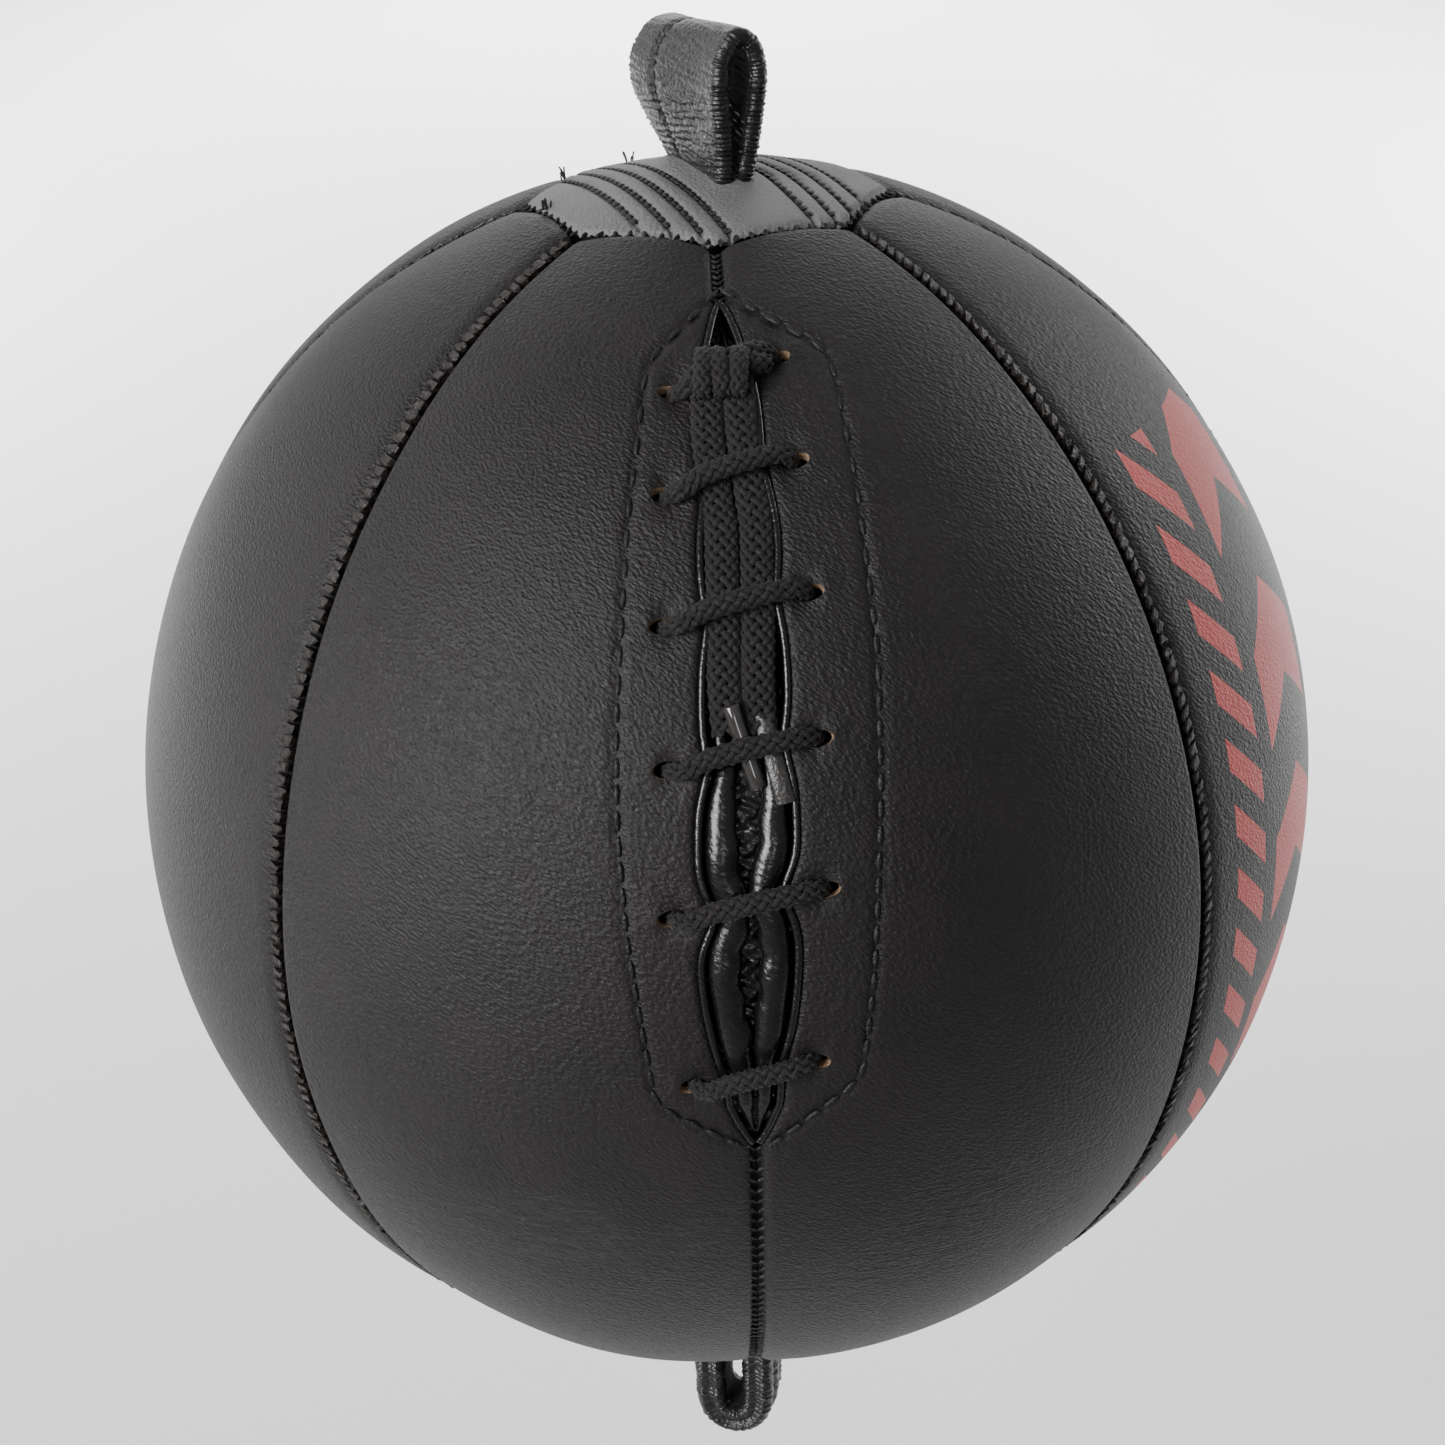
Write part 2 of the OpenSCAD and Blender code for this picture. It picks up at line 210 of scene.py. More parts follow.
def joined(name, pieces):
    only(pieces[0])
    for other in pieces[1:]:
        other.select_set(True)
    if len(pieces) > 1:
        bpy.ops.object.join()
    pieces[0].name = name
    pieces[0].data.name = name
    return pieces[0]


def stamped(name, model, places, uneven=0.0):
    # one mesh with the model at every place, each a 4 by 4 frame in millimetres, roughened if uneven
    shape = corners(model) / mm
    faces = [list(face.vertices) for face in model.data.polygons]
    places = np.asarray(places)
    points = np.einsum("kij,nj->kni", places[:, :3, :3], shape) + places[:, None, :3, 3]
    points = points + np.random.default_rng(5).normal(0, 1, points.shape) * uneven
    copies = [[c + k * len(shape) for c in face] for k in range(len(places)) for face in faces]
    mesh = bpy.data.meshes.new(name)
    mesh.from_pydata(toFrame(points.reshape(-1, 3)).tolist(), [], copies)
    bpy.data.objects.remove(model)
    piece = bpy.data.objects.new(name, mesh)
    bpy.context.scene.collection.objects.link(piece)
    return piece


def standing(points, along, normals=None, turned=0.0):
    # frames at points: X along, Z outwards, turned about Z
    points = np.asarray(points, float)
    up = outward(points) if normals is None else normals
    x = unit(along - (along * up).sum(-1, keepdims=True) * up)
    y = np.cross(up, x)
    c, s = np.cos(turned), np.sin(turned)
    c, s = (np.broadcast_to(k, len(points))[:, None] for k in (c, s))
    places = np.zeros((len(points), 4, 4))
    places[:, :3, 0], places[:, :3, 1] = c * x + s * y, c * y - s * x
    places[:, :3, 2], places[:, :3, 3] = up, points
    places[:, 3, 3] = 1
    return places


def stitchModel(size):
    # one rounded stitch or knot of thread, long in X
    bpy.ops.object.select_all(action="DESELECT")
    bpy.ops.mesh.primitive_uv_sphere_add(segments=8, ring_count=6, radius=0.5)
    model = bpy.context.object
    editAll(model)
    bpy.ops.transform.rotate(value=math.pi / 2, orient_axis="Y", center_override=(0, 0, 0))
    bpy.ops.transform.resize(value=tuple(k * mm for k in size), center_override=(0, 0, 0))
    bpy.ops.object.mode_set(mode="OBJECT")
    return model


def toothModel(size):
    # one gathered pucker: a block with rounded edges, leaning along the seam and wider at its outer end
    bpy.ops.object.select_all(action="DESELECT")
    bpy.ops.mesh.primitive_cube_add(size=1)
    model = bpy.context.object
    editAll(model)
    bpy.ops.mesh.bevel(offset=seams["toothBevel"], segments=2, affect="EDGES")
    bpy.ops.transform.resize(value=tuple(k * mm for k in size), center_override=(0, 0, 0))
    bpy.ops.object.mode_set(mode="OBJECT")
    shape = corners(model)
    narrow, taper = seams["toothTaper"]
    shape[:, 1] = (shape[:, 1] * (narrow + taper * shape[:, 0] / (size[0] * mm))
                   + seams["toothLean"] * shape[:, 0])
    shape[:, 2] += seams["toothTip"] * shape[:, 1]
    moveCorners(model, shape)
    return model


def finish(piece, body, material, replaced=(), sharp=50):
    only(piece)
    bpy.ops.object.shade_smooth_by_angle(angle=math.radians(sharp))
    piece.data.materials.clear()
    piece.data.materials.append(material)
    if body:
        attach(piece, body)
    if replaced:
        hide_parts(*replaced)


def faceMiddles(piece):
    # each face's middle, in millimetres from the ball's centre, and the way it faces
    faces = piece.data.polygons
    middles, normals = (np.empty(len(faces) * 3) for _ in range(2))
    faces.foreach_get("center", middles)
    faces.foreach_get("normal", normals)
    return (middles.reshape(-1, 3) - (0, 0, centreZ)) / mm, normals.reshape(-1, 3)


def paintFaces(piece, material, chosen):
    # a second material on the chosen faces
    piece.data.materials.append(material)
    piece.data.polygons.foreach_set("material_index", chosen.astype(np.int32))


def linear(hexColour):
    parts = [int(hexColour[k:k + 2], 16) / 255 for k in (1, 3, 5)]
    return tuple(c / 12.92 if c <= 0.04045 else ((c + 0.055) / 1.055) ** 2.4 for c in parts) + (1.0,)


def addNode(material, kind, inputs=None, **settings):
    # an input is a value, a socket, or a node that gives its first output
    node = material.node_tree.nodes.new("ShaderNode" + kind)
    for key, value in settings.items():
        setattr(node, key, value)
    for key, value in (inputs or {}).items():
        value = value.outputs[0] if isinstance(value, bpy.types.Node) else value
        if isinstance(value, bpy.types.NodeSocket):
            material.node_tree.links.new(value, node.inputs[key])
        else:
            node.inputs[key].default_value = value
    return node


def newMaterial(name, inputs):
    # a shader with its plain values set on its own sockets
    material = bpy.data.materials.new(name)
    material.use_nodes = True
    shader = material.node_tree.nodes["Principled BSDF"]
    for key, value in inputs.items():
        shader.inputs[key].default_value = value
    return material, shader


def shading(material, shader, colour, height, roughness=None):
    links = material.node_tree.links
    links.new(colour.outputs[2], shader.inputs["Base Color"])
    links.new(height.outputs[0], shader.inputs["Normal"])
    if roughness:
        links.new(roughness.outputs[0], shader.inputs["Roughness"])
    return material


def perMm(size):
    # a texture's scale for a feature that is size millimetres across
    return 1 / (size * mm)


# Finished cowhide: a fine pebble grain pressed under a satin top coat, so that it is dark with a
# grey sheen at the edges. The grain is drawn a little coarser than the real one, to show.
leatherLooks = {
    "panel": {"dark": "#100e0e", "light": "#1b1817", "grain": 0.62, "depth": 0.27,
              "rough": (0.46, 0.62), "ior": 1.36, "creases": 0.38},
    # painted sheen: the caps are the same black leather as the panels, and their grey colour stands in for
    # the sheen that light gives them
    "cap": {"dark": "#504f50", "light": "#656364", "grain": 0.62, "depth": 0.19,
            "rough": (0.52, 0.68), "ior": 1.42, "creases": 0.0},
    "strap": {"dark": "#0c0b0b", "light": "#171514", "grain": 0.7, "depth": 0.22,
              "rough": (0.27, 0.44), "ior": 1.46, "creases": 0.0},
    "roll": {"dark": "#0b0a0a", "light": "#141212", "grain": 1.0, "depth": 0.10,
             "rough": (0.18, 0.32), "ior": 1.46, "creases": 0.0},
}
printing = {
    "ink": "#b94a46",
    "low": -74, "high": 88,  # the printed height on the panel
    "bars": (11, 23),  # the slanted bars' place across the panel, from its seam
    "barPitch": 13.0, "barSlant": 0.9,
    "chevrons": (29, 60), "chevronMiddle": 44, "chevronPitch": 37.0, "chevronSlant": 0.7,
}


creases = {
    "squeeze": (55, 55, 420),  # per metre, so that they lie level
    "line": 0.05,  # the share of the noise that counts as a line
    # where they start and where they are full, in metres along an axis
    "fades": (("Z", -0.062, -0.045), ("Z", -0.022, -0.036), ("Y", -0.075, -0.1)),
    "patches": (0.38, 0.55),
}


def creaseHeight(material, place):
    # the fine level wrinkles low on the front panels, where the leather was stretched
    squeezed = addNode(material, "Mapping", {"Vector": place, "Scale": creases["squeeze"]})
    folds = addNode(material, "TexNoise", {
        "Vector": squeezed, "Scale": 1.0, "Detail": 3.0, "Roughness": 0.6, "Distortion": 0.4})
    middle = addNode(material, "Math", {0: folds, 1: 0.5}, operation="SUBTRACT")
    away = addNode(material, "Math", {0: middle}, operation="ABSOLUTE")
    mask = addNode(material, "MapRange", {
        "Value": away, "From Min": 0.0, "From Max": creases["line"], "To Min": -1.0, "To Max": 0.0},
        interpolation_type="SMOOTHSTEP")
    parts = addNode(material, "SeparateXYZ", {0: place})
    fades = [addNode(material, "MapRange", {
        "Value": parts.outputs[axis], "From Min": start, "From Max": full}, interpolation_type="SMOOTHSTEP")
        for axis, start, full in creases["fades"]]
    patches = addNode(material, "TexNoise", {"Vector": place, "Scale": 35.0, "Detail": 1.0})
    low, high = creases["patches"]
    fades.append(addNode(material, "MapRange", {"Value": patches, "From Min": low, "From Max": high}))
    for fade in fades:
        mask = addNode(material, "Math", {0: mask, 1: fade}, operation="MULTIPLY")
    return mask


def between(material, value, low, high):
    over = addNode(material, "Math", {0: value, 1: low}, operation="GREATER_THAN")
    under = addNode(material, "Math", {0: value, 1: high}, operation="LESS_THAN")
    return addNode(material, "Math", {0: over, 1: under}, operation="MULTIPLY")


def inkMask(material):
    # slanted bars and chevrons, from the panel's own measures across and along it
    measured = addNode(material, "Attribute", attribute_name="panelPlace")
    parts = addNode(material, "SeparateXYZ", {0: measured.outputs["Vector"]})
    across, along = parts.outputs["X"], parts.outputs["Y"]
    fromMiddle = addNode(material, "Math", {0: across, 1: printing["chevronMiddle"]},
                         operation="SUBTRACT")
    folded = addNode(material, "Math", {0: fromMiddle}, operation="ABSOLUTE")
    masks = []
    for shape, source in (("bar", across), ("chevron", folded)):
        leaned = addNode(material, "Math", {0: source, 1: printing[shape + "Slant"], 2: along},
                         operation="MULTIPLY_ADD")
        counted = addNode(material, "Math", {0: leaned, 1: printing[shape + "Pitch"]},
                          operation="DIVIDE")
        share = addNode(material, "Math", {0: counted}, operation="FRACT")
        bar = addNode(material, "Math", {0: share, 1: 0.5}, operation="LESS_THAN")
        inside = between(material, across, *printing[shape + "s"])
        masks.append(addNode(material, "Math", {0: bar, 1: inside}, operation="MULTIPLY"))
    both = addNode(material, "Math", {0: masks[0], 1: masks[1]}, operation="ADD")
    height = between(material, along, printing["low"], printing["high"])
    return addNode(material, "Math", {0: both, 1: height}, operation="MULTIPLY")


def leather(name, look, printed=False):
    material, shader = newMaterial(name, {"IOR": look["ior"]})
    place = addNode(material, "TexCoord").outputs["Object"]
    leaned = addNode(material, "Mapping", {
        "Vector": place, "Rotation": (0, math.radians(35), math.radians(8)), "Scale": (1.7, 1.2, 0.85)},
        vector_type="TEXTURE")
    pebbles = addNode(material, "TexVoronoi", {
        "Vector": leaned, "Scale": perMm(look["grain"])}, feature="SMOOTH_F1")
    pores = addNode(material, "TexNoise", {
        "Vector": leaned, "Scale": perMm(look["grain"] * 0.7), "Detail": 2.0, "Distortion": 0.6})
    clouds = addNode(material, "TexNoise", {"Vector": place, "Scale": perMm(14), "Detail": 3.0})
    height = addNode(material, "Math", {0: pores, 1: 0.8, 2: pebbles.outputs["Distance"]},
                     operation="MULTIPLY_ADD")
    if look["creases"]:
        height = addNode(material, "Math", {
            0: creaseHeight(material, place), 1: look["creases"] / look["depth"], 2: height},
            operation="MULTIPLY_ADD")
    tone = addNode(material, "Mix", {
        "Factor": clouds, 6: linear(look["dark"]), 7: linear(look["light"])}, data_type="RGBA")
    low, high = look["rough"]
    roughness = addNode(material, "MapRange", {
        "Value": pores, "From Min": 0.3, "From Max": 0.7, "To Min": low, "To Max": high})
    if printed:
        tone = addNode(material, "Mix", {
            "Factor": inkMask(material), 6: tone.outputs[2], 7: linear(printing["ink"])}, data_type="RGBA")
    bump = addNode(material, "Bump", {
        "Strength": 1.0, "Distance": look["depth"] * mm, "Height": height})
    return shading(material, shader, tone, bump, roughness)


def patterned(material, shader, pattern, dark, light, rough, depth, strength=1.0):
    # colour, roughness and height that all follow one pattern
    tone = addNode(material, "Mix", {
        "Factor": pattern, 6: linear(dark), 7: linear(light)}, data_type="RGBA")
    roughness = addNode(material, "MapRange", {
        "Value": pattern, "To Min": rough[0], "To Max": rough[1]})
    bump = addNode(material, "Bump", {
        "Strength": strength, "Distance": depth * mm, "Height": pattern})
    return shading(material, shader, tone, bump, roughness)


def plainMaterial(name, dark, light, size, rough, depth, inputs, detail=3.0):
    # a plain finish with the unevenness that its making leaves, size millimetres across
    material, shader = newMaterial(name, inputs)
    place = addNode(material, "TexCoord").outputs["Object"]
    marks = addNode(material, "TexNoise", {"Vector": place, "Scale": perMm(size), "Detail": detail})
    return patterned(material, shader, marks, dark, light, rough, depth)


def clothMaterial():
    # plain-woven cotton drill, dyed black, with threads 0.6 mm apart
    material, shader = newMaterial("blackDrill", {"IOR": 1.45, "Sheen Weight": 0.1})
    place = addNode(material, "TexCoord").outputs["Object"]
    warp, weft = (addNode(material, "TexWave", {
        "Vector": place, "Scale": perMm(0.6) / 20, "Distortion": 1.0}, bands_direction=axis)
        for axis in "XZ")
    weave = addNode(material, "Math", {0: warp.outputs["Fac"], 1: weft.outputs["Fac"]},
                    operation="MULTIPLY")
    return patterned(material, shader, weave, "#0c0b0b", "#1d1b1b", (0.75, 0.95), 0.2, 0.8)


print("Making the materials")
panelLeather = leather("satinCowhide", leatherLooks["panel"])
printedLeather = leather("printedCowhide", leatherLooks["panel"], printed=True)
# the caps' leather carries a painted sheen: a grey colour in place of the light they catch
capLeatherPaintedSheen = leather("quiltedCowhidePaintedSheen", leatherLooks["cap"])
strapLeather = leather("strapCowhide", leatherLooks["strap"])
rollLeather = leather("polishedCowhide", leatherLooks["roll"])
# waxed nylon thread: twisted, nearly black, with a warm shine where the light catches it
waxedThread = plainMaterial("waxedThread", "#030303", "#12100e", 0.5, (0.35, 0.75), 0.35, {"IOR": 1.4}, 2.0)
# spun polyester lace yarn: matt black with a fuzz of fine fibres
braidedPolyester = plainMaterial("braidedPolyester", "#050404", "#181513", 0.35, (0.6, 0.85), 0.2, {
    "IOR": 1.36, "Sheen Weight": 0.06, "Sheen Roughness": 0.5}, 2.0)
drill = clothMaterial()
# leather drawn up by its stitches: the top coat is cracked, and its ridges are worn shiny and brown
puckeredLeather = plainMaterial("puckeredCowhide", "#060505", "#1e1713", 0.9, (0.36, 0.58), 0.6, {
    "IOR": 1.42})
# the flesh side of the strap: a matt nap, and painted shade, since its near-black colour also stands in for
# the shade inside the loop
napAndPaintedShade = plainMaterial("suedeCowhidePaintedShade", "#050404", "#0d0b0a", 0.6, (0.85, 0.95), 0.25, {"IOR": 1.35})
# cut through: pale, undyed and matt
rawHide = plainMaterial("rawCowhide", "#4a382b", "#a98b6e", 0.5, (0.8, 0.95), 0.3, {"IOR": 1.45})
# acetate film, shrunk on: smooth, glossy and dark
smokyAcetate = plainMaterial("smokyAcetate", "#262423", "#343130", 3, (0.08, 0.14), 0.02, {"IOR": 1.7})
# lace melted into a hard tip: lumpy and half glossy
fusedTip = plainMaterial("fusedPolyester", "#191817", "#3a3837", 0.7, (0.2, 0.4), 0.3, {"IOR": 1.5})
# moulded butyl rubber, dull with a bloom
butylRubber = plainMaterial("butylRubber", "#1b1917", "#272420", 2, (0.55, 0.7), 0.05, {"IOR": 1.52})


lacing = {
    "rowHeights": [109, 95, 76, 53.5, 28, -5],  # the middle of each row of lace
    "rowHalves": [9.7, 11.8, 13, 13.4, 13.7, 11.2],  # half the distance between its holes
    "tilt": 2,  # the right hole is this much over the row's middle, and the left one under it
    "pinches": [0.3, 0.8, 1.0, 1.2, 2.4, 0.6],  # how far each crossing pulls the opening's edges in
    "hole": (2.6, 1.5),  # half-length and half-height
    "top": 118.5, "bottom": -20.5,
    "endReach": 9,  # over which the opening closes at each end
    "pinchReach": 5,
    # half-widths of the opening, left and right, and their heights
    "leftEdge": [(4.0, -20.5), (5.6, -10), (9.6, 12.5), (9.1, 41), (7.4, 60), (6.8, 77), (6.3, 90),
                 (6.4, 101), (4.4, 111), (3.6, 118.5)],
    "rightEdge": [(4.0, -20.5), (5.0, -10), (8.9, 12.5), (9.5, 41), (9.0, 60), (8.8, 77), (8.6, 87),
                  (6.9, 101), (5.6, 111), (4.4, 118.5)],
    # the dashed stitching's outline, left and right
    "leftStitches": [(-1.2, 119), (-13.8, 111), (-18.4, 89), (-21.8, 60), (-22.6, 42), (-21.8, 22),
                     (-18, -11), (-3.9, -19.6)],
    "rightStitches": [(1.5, 119.3), (19.6, 111), (22.6, 93), (24.5, 68), (24, 45), (22, 14),
                      (19.5, -7), (3.4, -19.8)],
}
holes = {side: np.array([(side * x, z + side * lacing["tilt"])
                         for x, z in zip(lacing["rowHalves"], lacing["rowHeights"])]) for side in (-1, 1)}


def slitEdge(side, z):
    # how far the opening's edge is from the middle seam
    edge = np.array(lacing["leftEdge" if side < 0 else "rightEdge"], float)
    z = np.asarray(z, float)
    wide = sum(np.interp(z + shift, edge[:, 1], edge[:, 0]) for shift in (-6, -3, 0, 3, 6)) / 5
    end = np.clip(np.minimum(z - lacing["bottom"], lacing["top"] - z) / lacing["endReach"], 0, 1)
    wide = wide * np.sqrt(end)
    for height, pinch in zip(lacing["rowHeights"], lacing["pinches"]):
        away = z - height - side * lacing["tilt"]
        wide = wide - pinch * np.exp(-(away / lacing["pinchReach"]) ** 2)
    return np.where(end > 0, np.maximum(wide, ball["seamHalf"]), ball["seamHalf"])


stitchLines = {side: smoothLine(lacing[key], 1.4, 3)
               for side, key in ((-1, "leftStitches"), (1, "rightStitches"))}


def nearLine(x, z, line):
    # distance to a line drawn in x and z
    best = np.full(len(x), 1e9)
    for a, b in zip(line[:-1], line[1:]):
        d = b - a
        t = np.clip(((x - a[0]) * d[0] + (z - a[1]) * d[1]) / (d @ d), 0, 1)
        best = np.minimum(best, np.hypot(x - a[0] - t * d[0], z - a[1] - t * d[1]))
    return best


panels = {
    "plainGrid": (60, 150),
    "lacedGrid": (84, 270),
    "crowding": 0.085,  # how much closer the grid's columns stand near the seams
    "puff": 0.9,  # how far a panel swells between its seams
    "unevenness": 0.18,  # height of its slow waves
    "crisp": (1.0, 1.3),  # depth and reach of the folded edge on a seam's near side
    "soft": (2.7, 5.5),  # and of the rolled edge on its far side
    "centre": (1.5, 2.6),  # along the middle seam
    "slit": (0.9, 1.8),  # along the opening
    "end": (0.9, 3.0),  # under a cap
    "dimple": (1.0, 2.6, 0.8),  # the hollow at a lace hole: depth, radius and place nearer the opening
    "rim": (0.5, 1.7, 2.6, 0.6),  # the leather pulled up: height, radius and place beyond and over the hole
    "stitchGroove": (0.6, 0.65),  # depth and half-width
}


def rounded(distance, edge):
    # the shoulder of an edge that turns down: its drop at a distance in from the edge
    depth, reach = edge
    t = 1 - np.clip(distance / reach, 0, 1)
    return -depth * (1 - np.sqrt(np.clip(1 - t * t, 0, 1)))


def seamEdges(index):
    # the panel's first and last edges: a seam's near side, towards the lacing, is the crisp one
    if index == 1:
        return "slit", "crisp"
    if index == 8:
        return "crisp", "slit"
    return ("crisp" if index > 5 else "soft"), ("crisp" if index < 5 else "soft")


def panelLift(index, x, z, firstAway, lastAway, endAway, share):
    slit = (z > lacing["bottom"]) & (z < lacing["top"])
    lift = panels["puff"] * np.sin(math.pi * share) ** 0.8
    lift = lift + panels["unevenness"] * np.sin(x * 0.11 + index) * np.cos(z * 0.07 + 2 * index)
    for kind, away in zip(seamEdges(index), (firstAway, lastAway)):
        if kind == "slit":
            lift = lift + np.where(slit, rounded(away, panels["slit"]), rounded(away, panels["centre"]))
        else:
            lift = lift + rounded(away, panels[kind])
    lift = lift + rounded(endAway, panels["end"])
    if index in (1, 8):
        side = 1 if index == 1 else -1
        depth, radius, nearer = panels["dimple"]
        height, reach, beyond, over = panels["rim"]
        for hx, hz in holes[side]:
            away = (x - hx + side * nearer) ** 2 + (z - hz) ** 2
            lift = lift - depth * np.exp(-away / radius ** 2)
            away = (x - hx - side * beyond) ** 2 + (z - hz - over) ** 2
            lift = lift + height * np.exp(-away / reach ** 2)
        depth, radius = panels["stitchGroove"]
        lift = lift - depth * np.exp(-(nearLine(x, z, stitchLines[side]) / radius) ** 2)
    return lift


def makePanel(index):
    laced = index in (1, 8)
    columns, rows = panels["lacedGrid" if laced else "plainGrid"]
    start = ball["front"] + ball["wedge"] * (index - 1)
    measures = {}

    def shape(u, v):
        share = u - panels["crowding"] * np.sin(2 * math.pi * u)
        angle = ball["wedge"] * share
        octagon = ball["capCut"] * math.cos(ball["wedge"] / 2) / np.cos(angle - ball["wedge"] / 2)
        top = np.arccos(octagon / ball["half"])
        rise = (2 * v - 1) * top
        rho, z = ball["half"] * np.cos(rise), ball["pole"] * np.sin(rise)
        firstGap = slitEdge(1, z) if index == 1 else ball["seamHalf"]
        lastGap = slitEdge(-1, z) if index == 8 else ball["seamHalf"]
        low = np.arcsin(firstGap / rho)
        high = ball["wedge"] - np.arcsin(lastGap / rho)
        angle = low + share * (high - low)
        firstAway, lastAway = rho * angle - firstGap, rho * (ball["wedge"] - angle) - lastGap
        endAway = (top - np.abs(rise)) * ball["pole"]
        x = rho * np.cos(start + angle)
        measures["across"], measures["along"] = firstAway, z
        return onBall(start + angle, rise, panelLift(index, x, z, firstAway, lastAway, endAway, share))

    piece = newSheet(f"panelLeather{index}", columns, rows, shape)
    measured = piece.data.attributes.new("panelPlace", "FLOAT_VECTOR", "POINT")
    flat = np.stack([measures["across"], measures["along"], 0 * measures["along"]], axis=1)
    measured.data.foreach_set("vector", flat.ravel())
    useModifier(piece, "SOLIDIFY", thickness=ball["leather"] * mm, offset=-1)
    if laced:
        punchHoles(piece, 1 if index == 1 else -1)
    material = printedLeather if index == 2 else panelLeather
    finish(piece, "ball", material, [f"panel_{index}"])
    if laced:
        showRawHoles(piece, 1 if index == 1 else -1)


def showRawHoles(piece, side):
    # the cut walls of the lace holes are undyed
    middles, normals = faceMiddles(piece)
    near = np.zeros(len(middles), bool)
    for x, z in holes[side]:
        near |= np.hypot(middles[:, 0] - x, middles[:, 2] - z) < 1.2 * lacing["hole"][0]
    paintFaces(piece, rawHide, near & (np.abs((normals * outward(middles)).sum(1)) < 0.5))


def punchHoles(piece, side):
    # lace holes, pulled a little wide towards the opening
    punches = []
    for x, z in holes[side]:
        bpy.ops.object.select_all(action="DESELECT")
        bpy.ops.mesh.primitive_cylinder_add(vertices=28, radius=1, depth=12 * mm)
        punch = bpy.context.object
        centre = onFront(x, z)
        place = Matrix(standing([centre], np.array([[1.0, 0.0, 0.15]]))[0].tolist())
        place.translation = Vector(toFrame(centre))
        punch.data.transform(place @ Matrix.Diagonal((lacing["hole"][0] * mm, lacing["hole"][1] * mm, 1, 1)))
        punches.append(punch)
    punch = joined("punch", punches)
    useModifier(piece, "BOOLEAN", operation="DIFFERENCE", object=punch, solver="EXACT")
    bpy.data.objects.remove(punch)


print("Wrapping the panels")
for index in range(1, 9):
    makePanel(index)


seams = {
    "toothSize": (2.7, 2.25, 1.7),  # one puckered bump of a seam
    "toothBevel": 0.15,  # a share of its size
    "toothTaper": (0.85, 0.3),  # its width at the middle, and how much that grows to its outer end
    "toothLean": 0.35,
    "toothTip": 0.2,  # how far it rises to its other side
    "toothPitch": 2.45,
    "toothAway": 1.7,  # from the seam, on its far side
    "toothLift": -1.05,
    "toothSlant": 0.5,
    "toothUneven": 0.13,
    "bone": (2.5, 0.8, 0.8),  # one of the slanted stitches down the middle seam
    "boneLift": -0.75,
    "boneUneven": 0.04,
    # below and above the opening: pitch, slant, share of the size, and distance from the middle
    "boneRuns": ((2.7, 0.6, 1.0, 1.0), (1.5, 0.7, 0.6, 0.5)),
    "dash": (3.7, 1.1, 0.8),  # one stitch of the dashed line
    "dashPitch": 4.4,
}
# the rise at which a seam goes under the cap
seamEnd = math.acos(ball["capCut"] / ball["half"]) - 0.02


def seamRises(pitch, low, high):
    return np.linspace(low, high, int((high - low) * ball["pole"] / pitch))


def seamFrames(turn, rise, lift, slant):
    # frames that lie across a seam, slanted from it
    points = onBall(turn, rise, lift)
    upwards = unit(onBall(turn, rise + 0.01) - onBall(turn, rise - 0.01))
    return standing(points, unit(np.cross(upwards, outward(points))), turned=slant)


def makeSeam(index):
    # the far panel's edge is gathered into a row of slanted teeth by the hidden stitches
    away = 1 if index < 6 else -1
    rise = seamRises(seams["toothPitch"], -seamEnd, seamEnd)
    turn = ball["front"] + ball["wedge"] * (index - 1)
    turn = turn + away * seams["toothAway"] / (ball["half"] * np.cos(rise))
    jitter = np.array([random.uniform(-0.2, 0.2) for _ in rise])
    places = seamFrames(turn, rise, seams["toothLift"], away * seams["toothSlant"] + jitter)
    sizes = np.array([random.uniform(0.82, 1.12) for _ in rise])
    places[:, :3, 1] *= sizes[:, None]
    piece = stamped(f"seamTeeth{index}", toothModel(seams["toothSize"]), places, seams["toothUneven"])
    finish(piece, "ball", puckeredLeather, [f"seam_thread_{index}"])


def makeCentreSeam():
    # slanted pairs below the opening, and a short ragged run above it
    places = []
    ends = ((-seamEnd, math.asin((lacing["bottom"] - 1) / ball["pole"])),
            (math.asin((lacing["top"] + 0.4) / ball["pole"]), seamEnd))
    for (low, high), (pitch, slant, size, away) in zip(ends, seams["boneRuns"]):
        rise = seamRises(pitch, low, high)
        for side in (-1, 1):
            turn = ball["front"] + side * away / (ball["half"] * np.cos(rise))
            run = seamFrames(turn, rise, seams["boneLift"], side * slant)
            run[:, :3, 0] *= size
            places.append(run)
    model = stitchModel(seams["bone"])
    piece = stamped("seamTeeth1", model, np.concatenate(places), seams["boneUneven"])
    finish(piece, "ball", waxedThread, ["seam_thread_1"])


def makeFacingStitches():
    places = []
    for side in (-1, 1):
        line = smoothLine(stitchLines[side], seams["dashPitch"], 0)
        points = onFront(line[:, 0], line[:, 1], 0.3)
        places.append(standing(points, directions(points)))
    piece = stamped("facingStitches", stitchModel(seams["dash"]), np.concatenate(places))
    finish(piece, "ball", waxedThread, ["facing_thread"])


print("Sewing the seams")
for index in range(2, 9):
    makeSeam(index)
makeCentreSeam()
makeFacingStitches()


